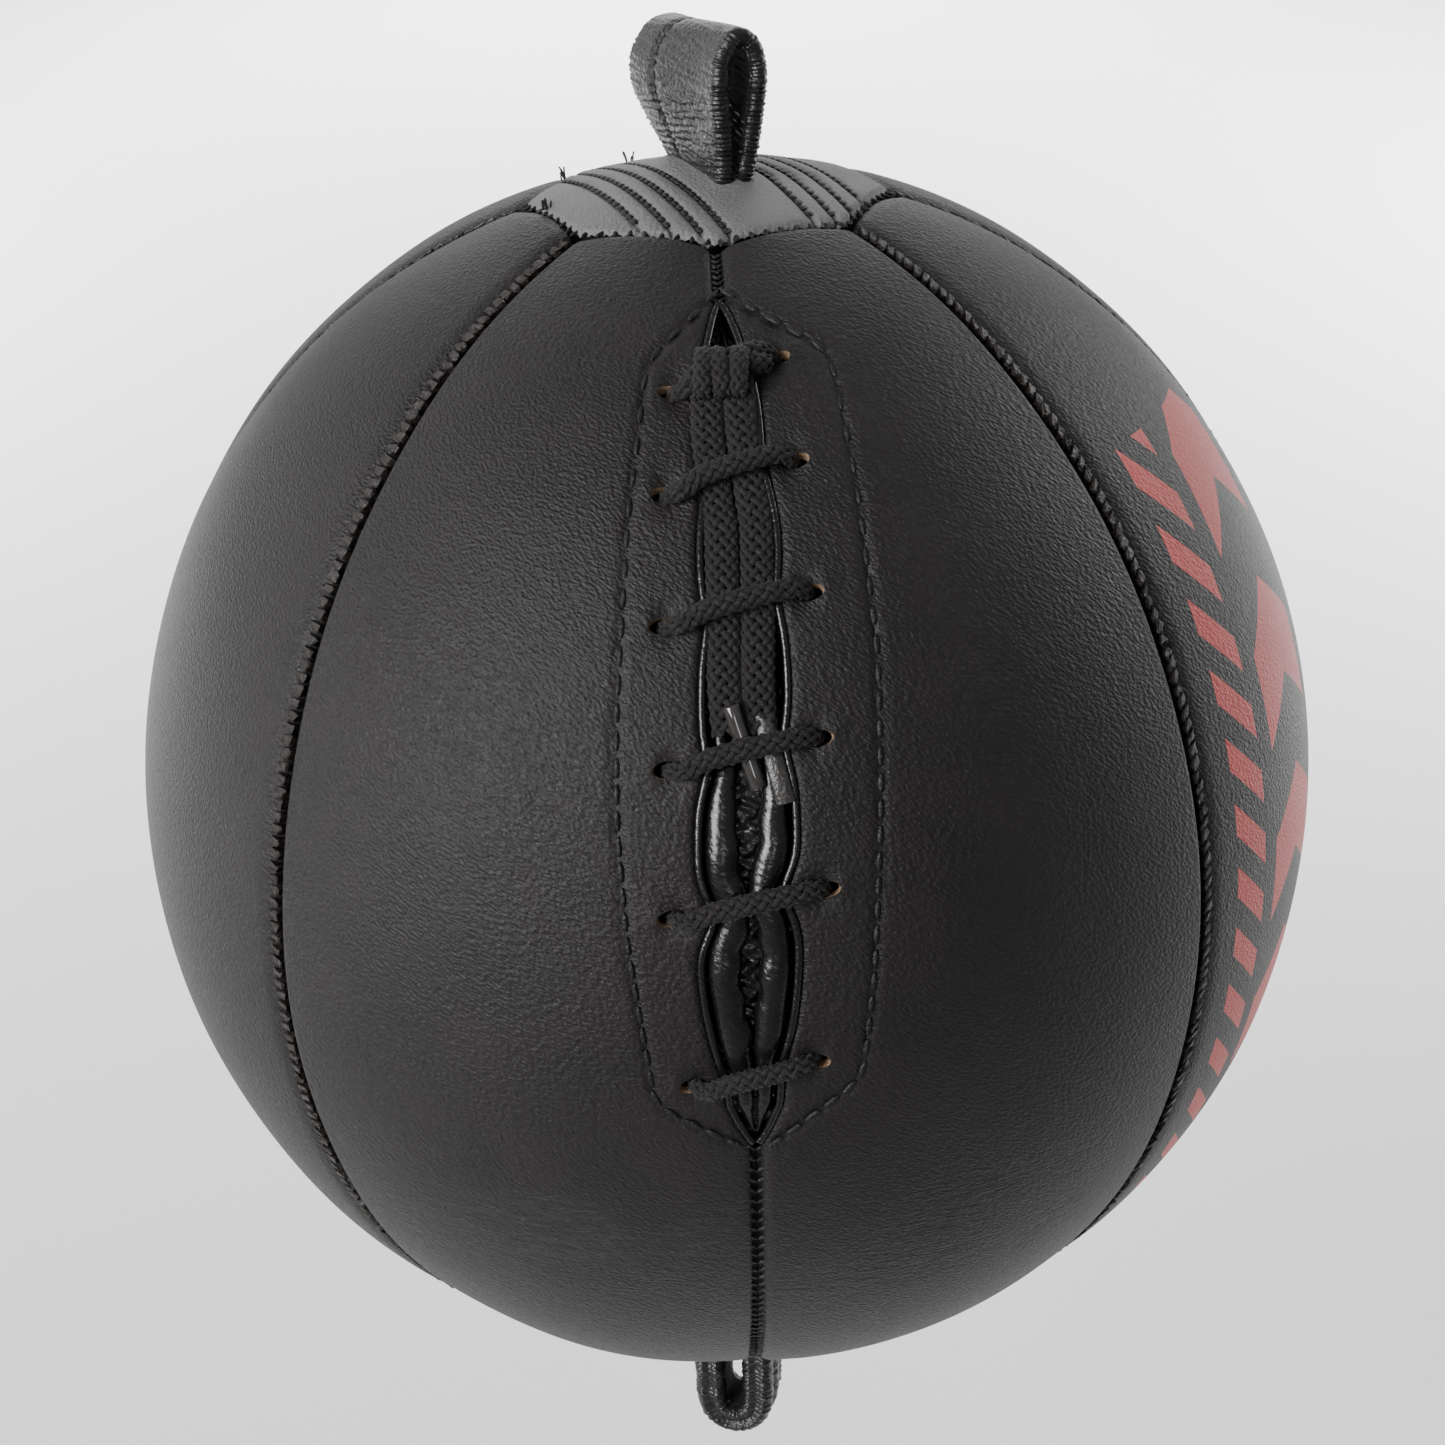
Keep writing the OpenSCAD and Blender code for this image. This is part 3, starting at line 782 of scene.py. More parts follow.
opening = {
    "pipeHalf": 0.7,
    "pipeLift": -0.35,
    "rollThick": 2.3,
    "rollAway": 1.7,  # in from the opening's edge
    "rollLift": -1.7,
    "rollHeights": [-18, 0, 40, 58, 117],
    "rollWidths": [2.2, 5.8, 5.8, 3.2, 2.6],  # at those heights
    "rollSink": 1.6,  # how much deeper the rolls lie in the upper half
    "tongueHalf": 8.6,
    "tongueLift": -5.0,
    "tongueThick": 1.3,
    "tongueBow": 1.4,  # how much higher its middle is than its edges
    "tongueHump": (2.2, -15, 4),  # where its lower end comes up: height, place and reach
    "wrinkle": 0.12,
    # the wrinkles' steps in radians per millimetre up and across the tongue
    "wrinkles": ((1.5, 1.2), (2.1, -1.5), (2.8, 0.7), (1.1, -0.8), (3.3, 1.9)),
}


def makeRoll(side):
    # the soft rolled edge, and the thin glossy piping along the panel's cut
    z = np.linspace(lacing["bottom"] + 2.5, lacing["top"] - 1.5, 170)
    edge = slitEdge(side, z) - opening["rollAway"]
    wide = np.interp(z, opening["rollHeights"], opening["rollWidths"]) * (1.02 if side < 0 else 0.96)
    half = np.minimum(wide, np.maximum(edge - 0.15, 0.7)) / 2
    lift = opening["rollLift"] - np.interp(z, [40, 55], [0, opening["rollSink"]]) + 0.15 * np.sin(z * 0.55)
    half = half * (1 + 0.04 * np.sin(z * 0.9 + side))
    line = onFront(side * (edge - half), z, lift)
    thick = opening["rollThick"] * np.interp(half, [0.4, 2.5], [0.35, 1.0])
    roll = newTube("roll", line, 20, half, thick)
    z = np.linspace(lacing["bottom"] + 0.5, lacing["top"] - 0.3, 150)
    x = side * np.maximum(slitEdge(side, z) - 0.5, 0.3)
    line = onFront(x, z, opening["pipeLift"])
    piping = newTube("piping", line, 10, opening["pipeHalf"], opening["pipeHalf"] * 0.9)
    roll = joined(f"slitRoll{'Left' if side < 0 else 'Right'}", [roll, piping])
    name = "left" if side < 0 else "right"
    finish(roll, "ball", rollLeather, [f"slit_roll_{name}", f"facing_{name}"])


def makeTongue():
    # cross wrinkles where the tongue is squeezed between the rolled edges
    phases = [random.uniform(0, 6.28) for _ in range(5)]

    def shape(u, v):
        x = (2 * u - 1) * opening["tongueHalf"]
        z = lacing["bottom"] + 1 + v * (lacing["top"] - lacing["bottom"] - 2)
        folds = sum(np.sin(z * k + p + x * lean) for (k, lean), p in zip(opening["wrinkles"], phases))
        lift = opening["tongueLift"] + opening["tongueBow"] * (1 - (x / opening["tongueHalf"]) ** 2)
        lift = lift + opening["wrinkle"] * folds
        height, place, reach = opening["tongueHump"]
        return onFront(x, z, lift + height * np.exp(-((z - place) / reach) ** 2))

    piece = newSheet("tongueLeather", 34, 330, shape)
    useModifier(piece, "SOLIDIFY", thickness=opening["tongueThick"] * mm, offset=-1)
    finish(piece, "ball", rollLeather, ["tongue"])


print("Rolling the edges of the opening")
makeRoll(-1)
makeRoll(1)
makeTongue()


braid = {
    "weave": 0.3,  # how far a yarn rises and dips
    "yarn": (0.62, 0.42),  # half-width and half-thickness of a yarn
    "step": 0.6,
    # half-width and half-thickness of the braid's core, its yarns in each direction and their turn's length
    "crossing": (1.5, 0.75, 5, 12.0),
    "flat": (2.55, 0.6, 7, 17.0),
    "knot": (1.9, 1.5, 6, 13.0),
    "wrap": (1.3, 0.5, 5, 11.0),
    "run": 8.2,  # depth of the lace's hidden runs
    "runHalf": 1.6,
}


def braided(name, line, kind, ends=1.0):
    # yarns wound both ways round a flat core, each over one and under one; the core may narrow to its ends
    wide, thick, count, turn = braid[kind]
    line = smoothLine(line, braid["step"], 2)
    along = directions(line)
    side = unit(np.cross(along, outward(line)))
    up = np.cross(side, along)
    at = np.arange(len(line)) * braid["step"]
    narrow = (1 - (1 - ends) * np.abs(2 * at / at[-1] - 1) ** 2.5)[:, None]
    yarns = []
    for way in (-1, 1):
        for k in range(count):
            angle = 2 * math.pi * (k / count + way * at / turn)
            wave = way * braid["weave"] * np.cos(2 * math.pi * count * at / turn)
            ring = np.cos(angle)[:, None] * side * wide * narrow + np.sin(angle)[:, None] * up * thick
            out = unit(np.cos(angle)[:, None] * side / wide + np.sin(angle)[:, None] * up / thick)
            yarn = line + ring + wave[:, None] * out
            yarns.append(newTube("yarn", yarn, 6, braid["yarn"][0] * narrow[:, 0], braid["yarn"][1], out))
    return joined(name, yarns)


def crossingLine(row):
    x, z, d = lacing["rowHalves"][row], lacing["rowHeights"][row], lacing["tilt"]
    return np.array([onFront(*point) for point in (
        (-x - 0.4, z - d, -5.0), (-x - 0.2, z - d, -2.2), (-x + 0.8, z - d - 0.3, 0.2),
        (-x + 3.2, z - d - 0.2, 1.5), (-x * 0.42, z - 0.2, 2.1), (0, z + 1.0, 2.3),
        (x * 0.5, z + 2.1, 2.1), (x - 2.6, z + d + 0.6, 1.4), (x - 0.8, z + d + 0.3, 0.2),
        (x + 0.2, z + d, -2.2), (x + 0.4, z + d, -5.0))])


def hiddenRuns():
    # under the panels, from each row's right hole to the next row's left one, and back to the top
    x, z, d, deep = lacing["rowHalves"], lacing["rowHeights"], lacing["tilt"], braid["run"]
    runs = []
    for k in range(len(z) - 1):
        ends = ((x[k], z[k] + d), (-x[k + 1], z[k + 1] - d))
        across = [(ends[0][0] + (ends[1][0] - ends[0][0]) * t, ends[0][1] + (ends[1][1] - ends[0][1]) * t)
                  for t in (0, 0.25, 0.5, 0.75, 1)]
        runs.append([onFront(*ends[0], -4.5)] + [onFront(*p, -deep) for p in across]
                    + [onFront(*ends[1], -4.5)])
    runs.append([onFront(x[-1], z[-1] + d, -4.5), onFront(15.5, -4, -deep)]
                + [onFront(18.6, height, -deep) for height in range(2, 112, 10)]
                + [onFront(8, 116, -deep), onFront(-8.6, 112, -deep), onFront(-x[0], z[0] - d, -4.5)])
    return [newTube("run", smoothLine(run, 1.5, 1), 8, braid["runHalf"], braid["runHalf"]) for run in runs]


laceEnds = {
    # heights, and distance across for the left end and for the right one, then height over the leather
    "z": [109, 101, 94, 88, 77, 66, 60, 57],
    "left": [-3.2, -3.5, -2.8, -2.0, -2.3, -2.8, -2.5, -2.2],
    "right": [2.2, 2.7, 3.6, 4.3, 3.9, 3.2, 3.2, 3.5],
    "lift": [1.4, -0.3, -0.5, -0.4, -0.3, -0.5, -0.6, -0.9],
    # a tip's line as across, height and lift, then its half sizes, its sides and its edge's rounding
    "sleeve": (([-1.8, -1.1, 1.6, 2.5], [61.6, 59.2, 51, 48.2], [1.3, 0.6, -0.4, -0.6]),
               (1.5, 1.5), 24, 0.25),
    "tip": (([3.8, 4.6, 6.2, 7.2], [60.0, 56, 49.5, 45.4], [-0.5, -0.1, 0.2, 0.4]), (1.75, 0.8), 16, 0.2),
}


def makeLace():
    parts = [braided("crossing", crossingLine(row), "crossing", 0.45) for row in range(6)]
    piece = joined("laceCrossings", parts + hiddenRuns())
    finish(piece, "ball", braidedPolyester, ["lace"])


def makeLaceEnd(side):
    # a flat end, tucked down inside the opening under the crossings
    x, z, lift = (np.array(laceEnds[key]) for key in (side, "z", "lift"))
    piece = braided(f"laceEnd{side.title()}", onFront(x, z, lift), "flat")
    finish(piece, "ball", braidedPolyester, [f"lace_end_{side}"])


def makeKnot():
    # the lace is wrapped level round its top crossing and pulled into a short fat bar
    z = lacing["rowHeights"][0]
    bar = np.array([onFront(x, z + up, lift) for x, up, lift in (
        (-6.2, -1.4, 0.6), (-4.8, -0.9, 2.2), (0, -0.3, 2.9), (5.6, 0.3, 2.4), (7.8, 0.8, 0.9))])
    wraps = []
    for x, lean in ((-3.6, 0.4), (-0.9, -0.5), (2.6, 0.5)):
        around = np.linspace(0, 2 * math.pi, 18)
        c, s = np.cos(around), np.sin(around)
        wraps.append(braided("wrap", onFront(x + lean * c, z - 0.7 + 2.7 * c, 2.2 + 2.3 * s), "wrap"))
    piece = joined("laceKnot", [braided("bar", bar, "knot", 0.7)] + wraps)
    finish(piece, "ball", braidedPolyester, ["lace_knot"])


def makeTip(name, key):
    line, (across, thick), sides, rounding = laceEnds[key]
    piece = newTube(name, onFront(*(np.array(part) for part in line)), sides, across, thick)
    useModifier(piece, "BEVEL", width=rounding * mm, segments=2, limit_method="ANGLE", angle_limit=1.0)
    return piece


print("Threading the lace")
makeLace()
makeLaceEnd("left")
makeLaceEnd("right")
makeKnot()
# a glossy sleeve on the left end, and the right end's flat fused tip
finish(makeTip("aglet", "sleeve"), "ball", smokyAcetate, ["aglets"])
finish(makeTip("laceTip", "tip"), "ball", fusedTip)


caps = {
    "corner": 36.6,  # from the pole to a corner
    "rise": 0.3,  # over the panels
    "thick": 1.4,
    "grid": 132,
    "rows": [9, 13.7, 18.4, 23.1],  # the quilting rows' distance from the strap's middle
    "outside": 42.0,  # past the edge, where the last swelling would end
    "puff": 0.55,  # how far the cap swells between its rows
    "rowDepth": 0.6,
    "rowHalf": 0.6,
    "pulls": 0.12,  # how much deeper a row is at each stitch
    "edge": (1.0, 1.6),  # depth and reach of its rounded edge
    "edgePulls": (0.5, 1.3, 3.1),  # the edge drawn in by its stitches: depth, reach and pitch
    "collar": (1.6, 5.0),  # height and reach of the leather drawn up round the strap
    "dash": (2.1, 1.3, 0.7),  # one stitch of a row
    "dashPitch": 2.5,
    "edgeStitch": (2.9, 0.9, 0.8),
    "edgeLift": -0.1,
    "edgeStitches": 9,  # along each of the eight sides
    "frays": ((196, 7), (151, 6), (118, 4)),  # where cut ends stand up, in degrees, and how many
    "hair": 0.2,  # half-thickness of a cut end
}
# each cap's turn about Z, the half-length of its strap's slot and how much its right rows close up
poles = {
    "top": {"sign": 1, "turn": math.radians(20), "slot": 12, "fan": 2.6},
    "bottom": {"sign": -1, "turn": math.radians(-15), "slot": 6, "fan": 0.0},
}


def atPole(pole, points):
    # from the cap's own axes, where X is across the strap, to the ball's
    c, s = math.cos(pole["turn"]), math.sin(pole["turn"])
    x, y, z = np.moveaxis(np.asarray(points, float), -1, 0)
    return np.stack([c * x - s * y, s * x + c * y, pole["sign"] * z], axis=-1)


def rowPlace(pole, side, row, y):
    # a quilting row's distance across; the right rows close up towards the back
    place = caps["rows"][row]
    if side > 0:
        place = place - pole["fan"] * np.clip(y / 30 + 0.3, 0, 1) * (1 - 0.15 * row)
    return side * place


def capLift(pole, x, y, inside, around):
    lift = np.full(len(x), caps["rise"])
    for side in (-1, 1):
        rows = [rowPlace(pole, side, k, y) * side for k in range(4)]
        bounds = [np.zeros(len(x))] + rows + [np.full(len(x), caps["outside"])]
        d = x * side
        for k, (low, high) in enumerate(zip(bounds[:-1], bounds[1:])):
            t = (d - low) / (high - low)
            part, here = np.clip(t, 0, 1), (t >= 0) & (t <= 1)
            if k == 4:  # from the last row out to the edge
                lift = lift + caps["puff"] * np.clip(part * 3.0, 0, 1) ** 0.5
            else:
                swell = 1 - (part ** 5 if k == 0 else np.abs(2 * part - 1) ** 2.4)
                lift = lift + caps["puff"] * np.where(here, swell, 0)
        for place in rows:
            near = np.exp(-((d - place) / caps["rowHalf"]) ** 2)
            pulled = caps["pulls"] * np.cos(2 * math.pi * y / caps["dashPitch"])
            lift = lift - near * (caps["rowDepth"] + pulled)
    fromSlot = np.hypot(x, np.clip(np.abs(y) - pole["slot"], 0, None))
    height, reach = caps["collar"]
    lift = lift + height * np.exp(-(fromSlot / reach) ** 2)
    lift = lift + rounded(inside, caps["edge"])
    depth, reach, pitch = caps["edgePulls"]
    drawnIn = np.cos(around * ball["capCut"] / pitch * 2 * math.pi) ** 2
    return lift - depth * np.exp(-(inside / reach) ** 2) * drawnIn


def capEdge(turn, corner):
    # from the pole to the eight-sided edge, at a turn about Z
    part = np.mod(turn, ball["wedge"]) - ball["wedge"] / 2
    return corner * math.cos(ball["wedge"] / 2) / np.cos(part)


def makeCap(name):
    pole = poles[name]

    def shape(u, v):
        p, q = 2 * u - 1, 2 * v - 1
        ring = np.maximum(np.abs(p), np.abs(q))
        turn = np.arctan2(q, p)
        around = turn + pole["turn"]
        edge = capEdge(around, caps["corner"])
        rho = ring * edge
        x, y = rho * np.cos(turn), rho * np.sin(turn)
        lift = capLift(pole, x, y, edge - rho, around)
        return atPole(pole, onBall(turn, np.arccos(np.clip(rho / ball["half"], 0, 1)), lift))

    piece = newSheet(f"{name}CapLeather", caps["grid"], caps["grid"], shape)
    if pole["sign"] < 0:
        editAll(piece)
        bpy.ops.mesh.flip_normals()
        bpy.ops.object.mode_set(mode="OBJECT")
    useModifier(piece, "SOLIDIFY", thickness=caps["thick"] * mm, offset=-1)
    finish(piece, "ball", capLeatherPaintedSheen, [f"{name}_cap"])


def makeCapThreads(name):
    pole = poles[name]
    places = []
    for side in (-1, 1):
        for row in range(4):
            y = np.arange(-32, 32, caps["dashPitch"])
            x = rowPlace(pole, side, row, y) * np.ones(len(y))
            edge = capEdge(np.arctan2(y, x) + pole["turn"], caps["corner"])
            keep = np.hypot(x, y) < edge - 2
            x, y = x[keep], y[keep]
            rise = np.arccos(np.hypot(x, y) / ball["half"])
            line = atPole(pole, onBall(np.arctan2(y, x), rise, caps["rise"] + 0.2))
            places.append(standing(line, directions(line)))
    rows = stamped(f"{name}QuiltStitches", stitchModel(caps["dash"]), np.concatenate(places))
    finish(rows, "ball", waxedThread, [f"{name}_quilt_thread"])
    teeth = []
    for k in range(8):
        a, b = (caps["corner"] * np.array([math.cos(t), math.sin(t)])
                for t in (k * ball["wedge"], (k + 1) * ball["wedge"]))
        for t in np.linspace(0.04, 0.96, caps["edgeStitches"]):
            x, y = (a + (b - a) * (t + random.uniform(-0.01, 0.01))) * random.uniform(0.985, 1.01)
            point = onBall(math.atan2(y, x), math.acos(math.hypot(x, y) / ball["half"]), caps["edgeLift"])
            point[2] *= pole["sign"]
            teeth.append(standing([point], np.array([[-x, -y, 0.0]]), turned=random.uniform(-0.5, 0.5))[0])
    edge = stamped(f"{name}EdgeStitches", stitchModel(caps["edgeStitch"]), teeth)
    finish(edge, "ball", waxedThread, [f"{name}_edge_thread"])


def makeFrays():
    # cut thread ends that stand up at the left of the top cap
    hairs = []
    for middle, count in caps["frays"]:
        for _ in range(count):
            turn = math.radians(middle) + random.uniform(-0.03, 0.03)
            rho = capEdge(turn, caps["corner"]) - random.uniform(0, 1.5)
            rise = math.acos(rho / ball["half"])
            lean = np.array([random.uniform(-0.8, 0.8), random.uniform(-0.8, 0.8), 0.3])
            long = random.uniform(1.2, 2.6)
            steps = np.linspace(0, 1, 6)[:, None]
            root = onBall(turn, rise, 0.4)
            line = root + outward(root) * long * steps + lean * long * 0.5 * steps ** 2
            beside = np.tile((0.3, 1.0, 0.2), (6, 1))  # any way that the hair doesn't lean
            hairs.append(newTube("hair", line, 5, caps["hair"], caps["hair"], beside))
    finish(joined("frayedEnds", hairs), "ball", waxedThread)


print("Quilting the caps")
for name in ("top", "bottom"):
    makeCap(name)
    makeCapThreads(name)
makeFrays()

# The middle of the folded strap, seen along its tunnel from the front and from the back:
# distance across and height over the ball's centre, from the left root over to the right one.
loops = {
    "rows": 440,
    "edgePoints": 17,
    "wrinkles": (0.045, (29, 37, 47, 61, 53, 43)),  # of the faces: height, and how many along the strap
    "rimWrinkles": (0.044, (67, 83, 97)),
    "groove": (0.45, 0.7),  # depth and half-width of the stitched groove
    "stitch": (2.0, 0.6, 0.5),
    "stitchPitch": 2.6 / 85,  # a share of the strap's length
    "top": {
        "front": [(-2.3, 125), (-2.3, 131), (-2.2, 139), (-2.7, 149), (-1.9, 156.2), (1.6, 160.2),
                  (5.0, 157.6), (6.0, 152.2), (5.0, 145), (3.7, 138), (2.0, 131), (1.5, 125)],
        "back": [(0.2, 127), (-1.6, 133), (-5.3, 140), (-8.7, 147), (-8.8, 152.8), (-5.2, 158.0),
                 (-0.4, 158.8), (4.6, 155.8), (6.2, 149.6), (5.6, 142), (4.4, 134), (3.8, 127)],
        # half-width and half-thickness, the height of its ridges, its seam's place across, the hollow in its
        # edges, the length that bends, how far its near edge bulges inwards, and a point inside the loop
        "half": 15.8, "thick": 1.7, "ridges": 0.0, "seamAt": 5.4, "columns": 30, "notch": 0.0,
        "hinge": 8.0, "nearBulge": 0.4, "middle": (1.2, 150),
    },
    "bottom": {
        "front": [(-2.8, 127), (-4.2, 134), (-6.8, 142), (-7.8, 150), (-7.9, 160), (-7.8, 169.8),
                  (-7.1, 172.8), (-5.0, 175.0), (-2.05, 175.8), (0.9, 175.0), (3.0, 172.8),
                  (3.7, 169.8), (3.8, 160), (3.9, 150), (3.6, 142), (1.8, 134), (0.6, 127)],
        "back": [(-2.8, 127), (-4.2, 134), (-7.0, 142), (-8.2, 150), (-8.5, 160), (-8.4, 168.4),
                 (-7.6, 171.6), (-5.2, 174.0), (-2.2, 174.8), (0.9, 174.2), (3.2, 172.0),
                 (4.0, 169.0), (4.1, 160), (4.0, 150), (3.6, 142), (1.8, 134), (0.6, 127)],
        "half": 7.8, "thick": 3.7, "ridges": 0.35, "seamAt": -1.5, "columns": 20, "notch": 0.42,
        "hinge": 8.0, "nearBulge": 0.0, "middle": (-2.0, 162),
    },
}


def strapSection(loop):
    # the strap's cross-section as width and height, flat or puffed between its rounded edges
    flat = loop["half"] - loop["thick"]
    run = np.linspace(-flat, flat, loop["columns"] + 1)
    turn = np.linspace(0, math.pi, loops["edgePoints"])[1:-1]
    bulge = np.sin(turn) - loop["notch"] * np.exp(-((turn - math.pi / 2) / 0.35) ** 2)
    swell = loop["ridges"] * np.cos(run / loop["half"] * 2.2 * math.pi)
    outer = np.stack([run, loop["thick"] + swell], axis=1)
    right = np.stack([flat + loop["thick"] * bulge, loop["thick"] * np.cos(turn)], axis=1)
    left = np.stack([-flat - loop["thick"] * bulge, -loop["thick"] * np.cos(turn)], axis=1)
    inner = np.stack([run[::-1], np.full(len(run), -loop["thick"])], axis=1)
    ring = np.concatenate([outer, right, inner, left])
    return np.concatenate([ring, ring[:1]])


def showNapAndPaintedShade(piece, pole, loop):
    # the strap's inner face is bare suede, painted darker than its outer face: painted shade inside the loop
    middles, normals = faceMiddles(piece)
    c, s = math.cos(pole["turn"]), math.sin(pole["turn"])
    x = c * middles[:, 0] + s * middles[:, 1]
    y = c * middles[:, 1] - s * middles[:, 0]
    inwards = (loop["middle"][0] - x) * (c * normals[:, 0] + s * normals[:, 1])
    inwards += (pole["sign"] * loop["middle"][1] - middles[:, 2]) * normals[:, 2]
    # the inward faces get the dark nap, which is partly painted shade
    paintFaces(piece, napAndPaintedShade, (inwards > 0) & (np.abs(y) < loop["half"] - loop["thick"]))


def makeLoop(name):
    pole, loop, count = poles[name], loops[name], loops["rows"]
    section = strapSection(loop)
    flat = loop["half"] - loop["thick"]
    lines = []
    for key in ("front", "back"):
        fine = smoothLine(loop[key], 0.4, 8)
        at, known = np.linspace(0, 1, count + 1), np.linspace(0, 1, len(fine))
        lines.append(np.stack([np.interp(at, known, fine[:, k]) for k in (0, 1)], axis=1))
    normals = [directions(line)[:, ::-1] * (-1, 1) for line in lines]
    phases = [random.uniform(0, 6.28) for _ in range(6)]

    def middleAt(row, wide):
        # the strap's middle at its rows, between the front line and the back one, and the way out
        back = (wide + loop["half"]) / (2 * loop["half"])
        back = np.broadcast_to(back * back * (3 - 2 * back), len(row))[:, None]
        return (lines[0][row] * (1 - back) + lines[1][row] * back,
                unit(normals[0][row] * (1 - back) + normals[1][row] * back))

    def placed(points, wide):
        wide = np.broadcast_to(wide, len(points))
        return atPole(pole, np.stack([points[:, 0], wide, points[:, 1]], axis=1))

    def shape(u, v):
        column = np.rint(u * (len(section) - 1)).astype(int)
        row = np.rint(v * count).astype(int)
        wide, high = section[column, 0], section[column, 1]
        middle, normal = middleAt(row, wide)
        t = v * 2 * math.pi
        size, counts = loops["wrinkles"]
        folds = sum(np.sin(k * t + p + 0.16 * wide * (1 + q) * (-1) ** q)
                    for q, (k, p) in enumerate(zip(counts, phases)))
        legs = 1 - 0.7 * np.exp(-((v - 0.5) / 0.12) ** 2)
        high = high + size * folds * legs * np.sign(high) * (np.abs(high) > 0.6 * loop["thick"])
        outerSide = high > 0
        size, counts = loops["rimWrinkles"]
        wrinkles = 1 + size * legs * sum(np.sin(k * t + p) for k, p in zip(counts, phases))
        past = np.abs(wide) - flat
        wide = np.where(past > 0, np.sign(wide) * (flat + past * wrinkles), wide)
        high = np.where(past > 0, high * wrinkles, high)
        ends = 1 - np.exp(-((v - 0.5) / 0.2) ** 4)
        high = high - loop["nearBulge"] * np.exp(-((wide + loop["half"]) / 3.5) ** 2) * ends * ~outerSide
        depth, reach = loops["groove"]
        high = high - depth * np.exp(-((wide - loop["seamAt"]) / reach) ** 2) * outerSide
        return placed(middle + normal * high[:, None], wide)

    piece = closeUp(newSheet(f"{name}LoopLeather", len(section) - 1, count, shape))
    finish(piece, None, strapLeather,
           [f"{name}_loop", f"{name}_strap_tail_left", f"{name}_strap_tail_right"])
    showNapAndPaintedShade(piece, pole, loop)
    row = np.rint(np.arange(0.06, 0.94, loops["stitchPitch"]) * count).astype(int)
    middle, normal = middleAt(row, loop["seamAt"])
    line = placed(middle + normal * (loop["thick"] - 0.3), loop["seamAt"])
    places = standing(line, directions(line), placed(normal, 0.0))
    stitches = stamped(f"{name}LoopStitches", stitchModel(loops["stitch"]), places)
    finish(stitches, None, waxedThread)
    for soft in (piece, stitches):
        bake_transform(soft)


print("Folding the loops")
makeLoop("top")
makeLoop("bottom")


print("Finishing the hidden parts")
hiddenLooks = {"lining": drill, "backing": drill, "bladder": butylRubber, "valve": butylRubber}
for node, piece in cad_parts.items():
    for key, material in hiddenLooks.items():
        if key in node:
            piece.data.materials.clear()
            piece.data.materials.append(material)


studio = {
    "floorDrop": 0.16,  # from the lowest point of the object
    # the floor's grey part is painted shade, standing in for the studio's dim front
    "shade": (-0.55, 0.1),  # where the floor turns from grey to white, front to back
    "world": 0.32,
    # place, the point each faces, size in metres, power and spread in degrees
    "lights": [
        ((0.0, 4.2, 2.2), (0, 0, 0.17), 4.0, 110, 180),
        ((-3.0, 1.9, 1.3), (0, 0, 0.17), 2.0, 38, 180),
        ((3.0, 1.9, 1.3), (0, 0, 0.17), 2.0, 80, 180),
        ((-1.75, -1.65, 0.95), (0, 0, 0.2), 1.8, 26, 60),
        ((0.2, -2.8, 0.45), (0, 0, 0.17), 0.55, 6, 180),
        # the last three only light the floor behind
        ((-1.5, 1.5, 1.3), (-1.5, 1.5, 0), 1.2, 54, 90),
        ((1.5, 1.5, 1.3), (1.5, 1.5, 0), 1.2, 60, 90),
        ((0.0, 3.2, 1.5), (0.0, 3.2, 0), 1.5, 60, 100),
    ],
}
view = {
    "turn": math.radians(-1.46),
    "rise": math.radians(24.63),
    "roll": math.radians(-1.878),
    "distance": 0.6011,
    "lens": 67.76,
    "shift": (-0.0029, 0.0280),
}


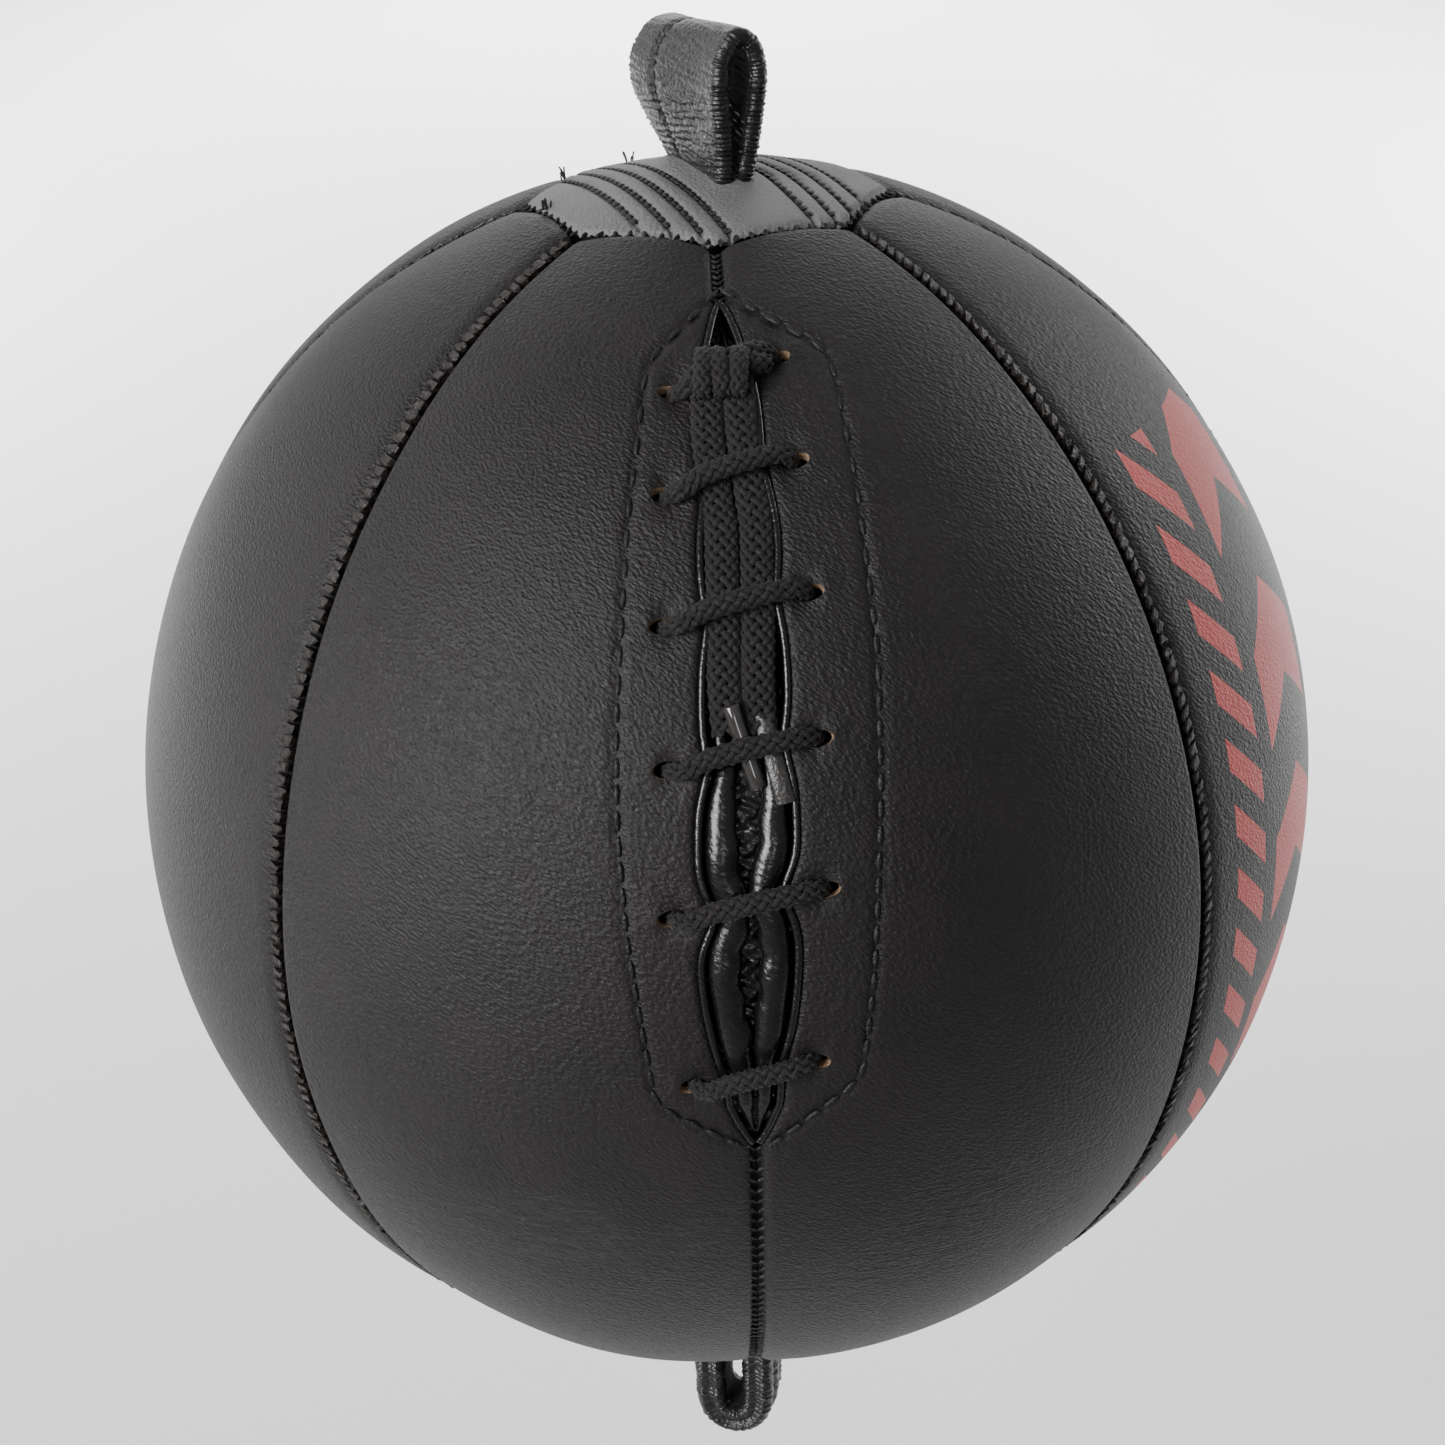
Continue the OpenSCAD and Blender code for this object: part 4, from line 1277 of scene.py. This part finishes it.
def makeFloor():
    bpy.ops.object.select_all(action="DESELECT")
    bpy.ops.mesh.primitive_plane_add(size=24, location=(0, 0, 0))
    floor = bpy.context.object
    floor.name = "floor"
    floor.data.transform(Matrix.Translation((0, 0, cadBox[0][2] - studio["floorDrop"])))
    # painted shade: white paper behind the ball, painted grey in front of it, standing in for a dim studio
    # front so that less light falls on the ball's underside
    material, shader = newMaterial("paperBackdropPaintedShade", {"Roughness": 0.9})
    place = addNode(material, "TexCoord").outputs["Object"]
    parts = addNode(material, "SeparateXYZ", {"Vector": place})
    low, high = studio["shade"]
    share = addNode(material, "MapRange", {
        "Value": parts.outputs["Y"], "From Min": low, "From Max": high}, interpolation_type="SMOOTHSTEP")
    # painted shade on the floor: grey in front, white behind
    tone = addNode(material, "Mix", {
        "Factor": share, 6: linear("#767676"), 7: linear("#f6f6f6")}, data_type="RGBA")
    fibre = addNode(material, "TexNoise", {"Vector": place, "Scale": perMm(2)})
    bump = addNode(material, "Bump", {"Distance": 0.05 * mm, "Height": fibre})
    shading(material, shader, tone, bump)
    floor.data.materials.append(material)


def makeLights():
    world = bpy.data.worlds.new("softStudio")
    bpy.context.scene.world = world
    world.use_nodes = True
    backdrop = world.node_tree.nodes["Background"]
    backdrop.inputs["Color"].default_value = (1, 1, 1, 1)
    backdrop.inputs["Strength"].default_value = studio["world"]
    for place, target, size, power, spread in studio["lights"]:
        bpy.ops.object.light_add(type="AREA", location=place)
        light = bpy.context.object
        light.data.size = size
        light.data.energy = power
        light.data.spread = math.radians(spread)
        aim = Vector(target) - Vector(place)
        light.rotation_euler = aim.to_track_quat("-Z", "Y").to_euler()


def makeCamera():
    back = Vector((math.sin(view["turn"]) * math.cos(view["rise"]),
                   -math.cos(view["turn"]) * math.cos(view["rise"]), math.sin(view["rise"])))
    right = (-back).cross(Vector((0, 0, 1))).normalized()
    up = right.cross(-back)
    c, s = math.cos(view["roll"]), math.sin(view["roll"])
    axes = Matrix((right * c + up * s, up * c - right * s, back)).transposed()
    bpy.ops.object.camera_add()
    camera = bpy.context.object
    place = Vector((0, 0, centreZ)) + back * view["distance"]
    camera.matrix_world = Matrix.Translation(place) @ axes.to_4x4()
    camera.data.sensor_width = 36
    camera.data.lens = view["lens"]
    camera.data.shift_x, camera.data.shift_y = view["shift"]
    bpy.context.scene.camera = camera


print("Setting up the studio")
makeFloor()
makeLights()
makeCamera()
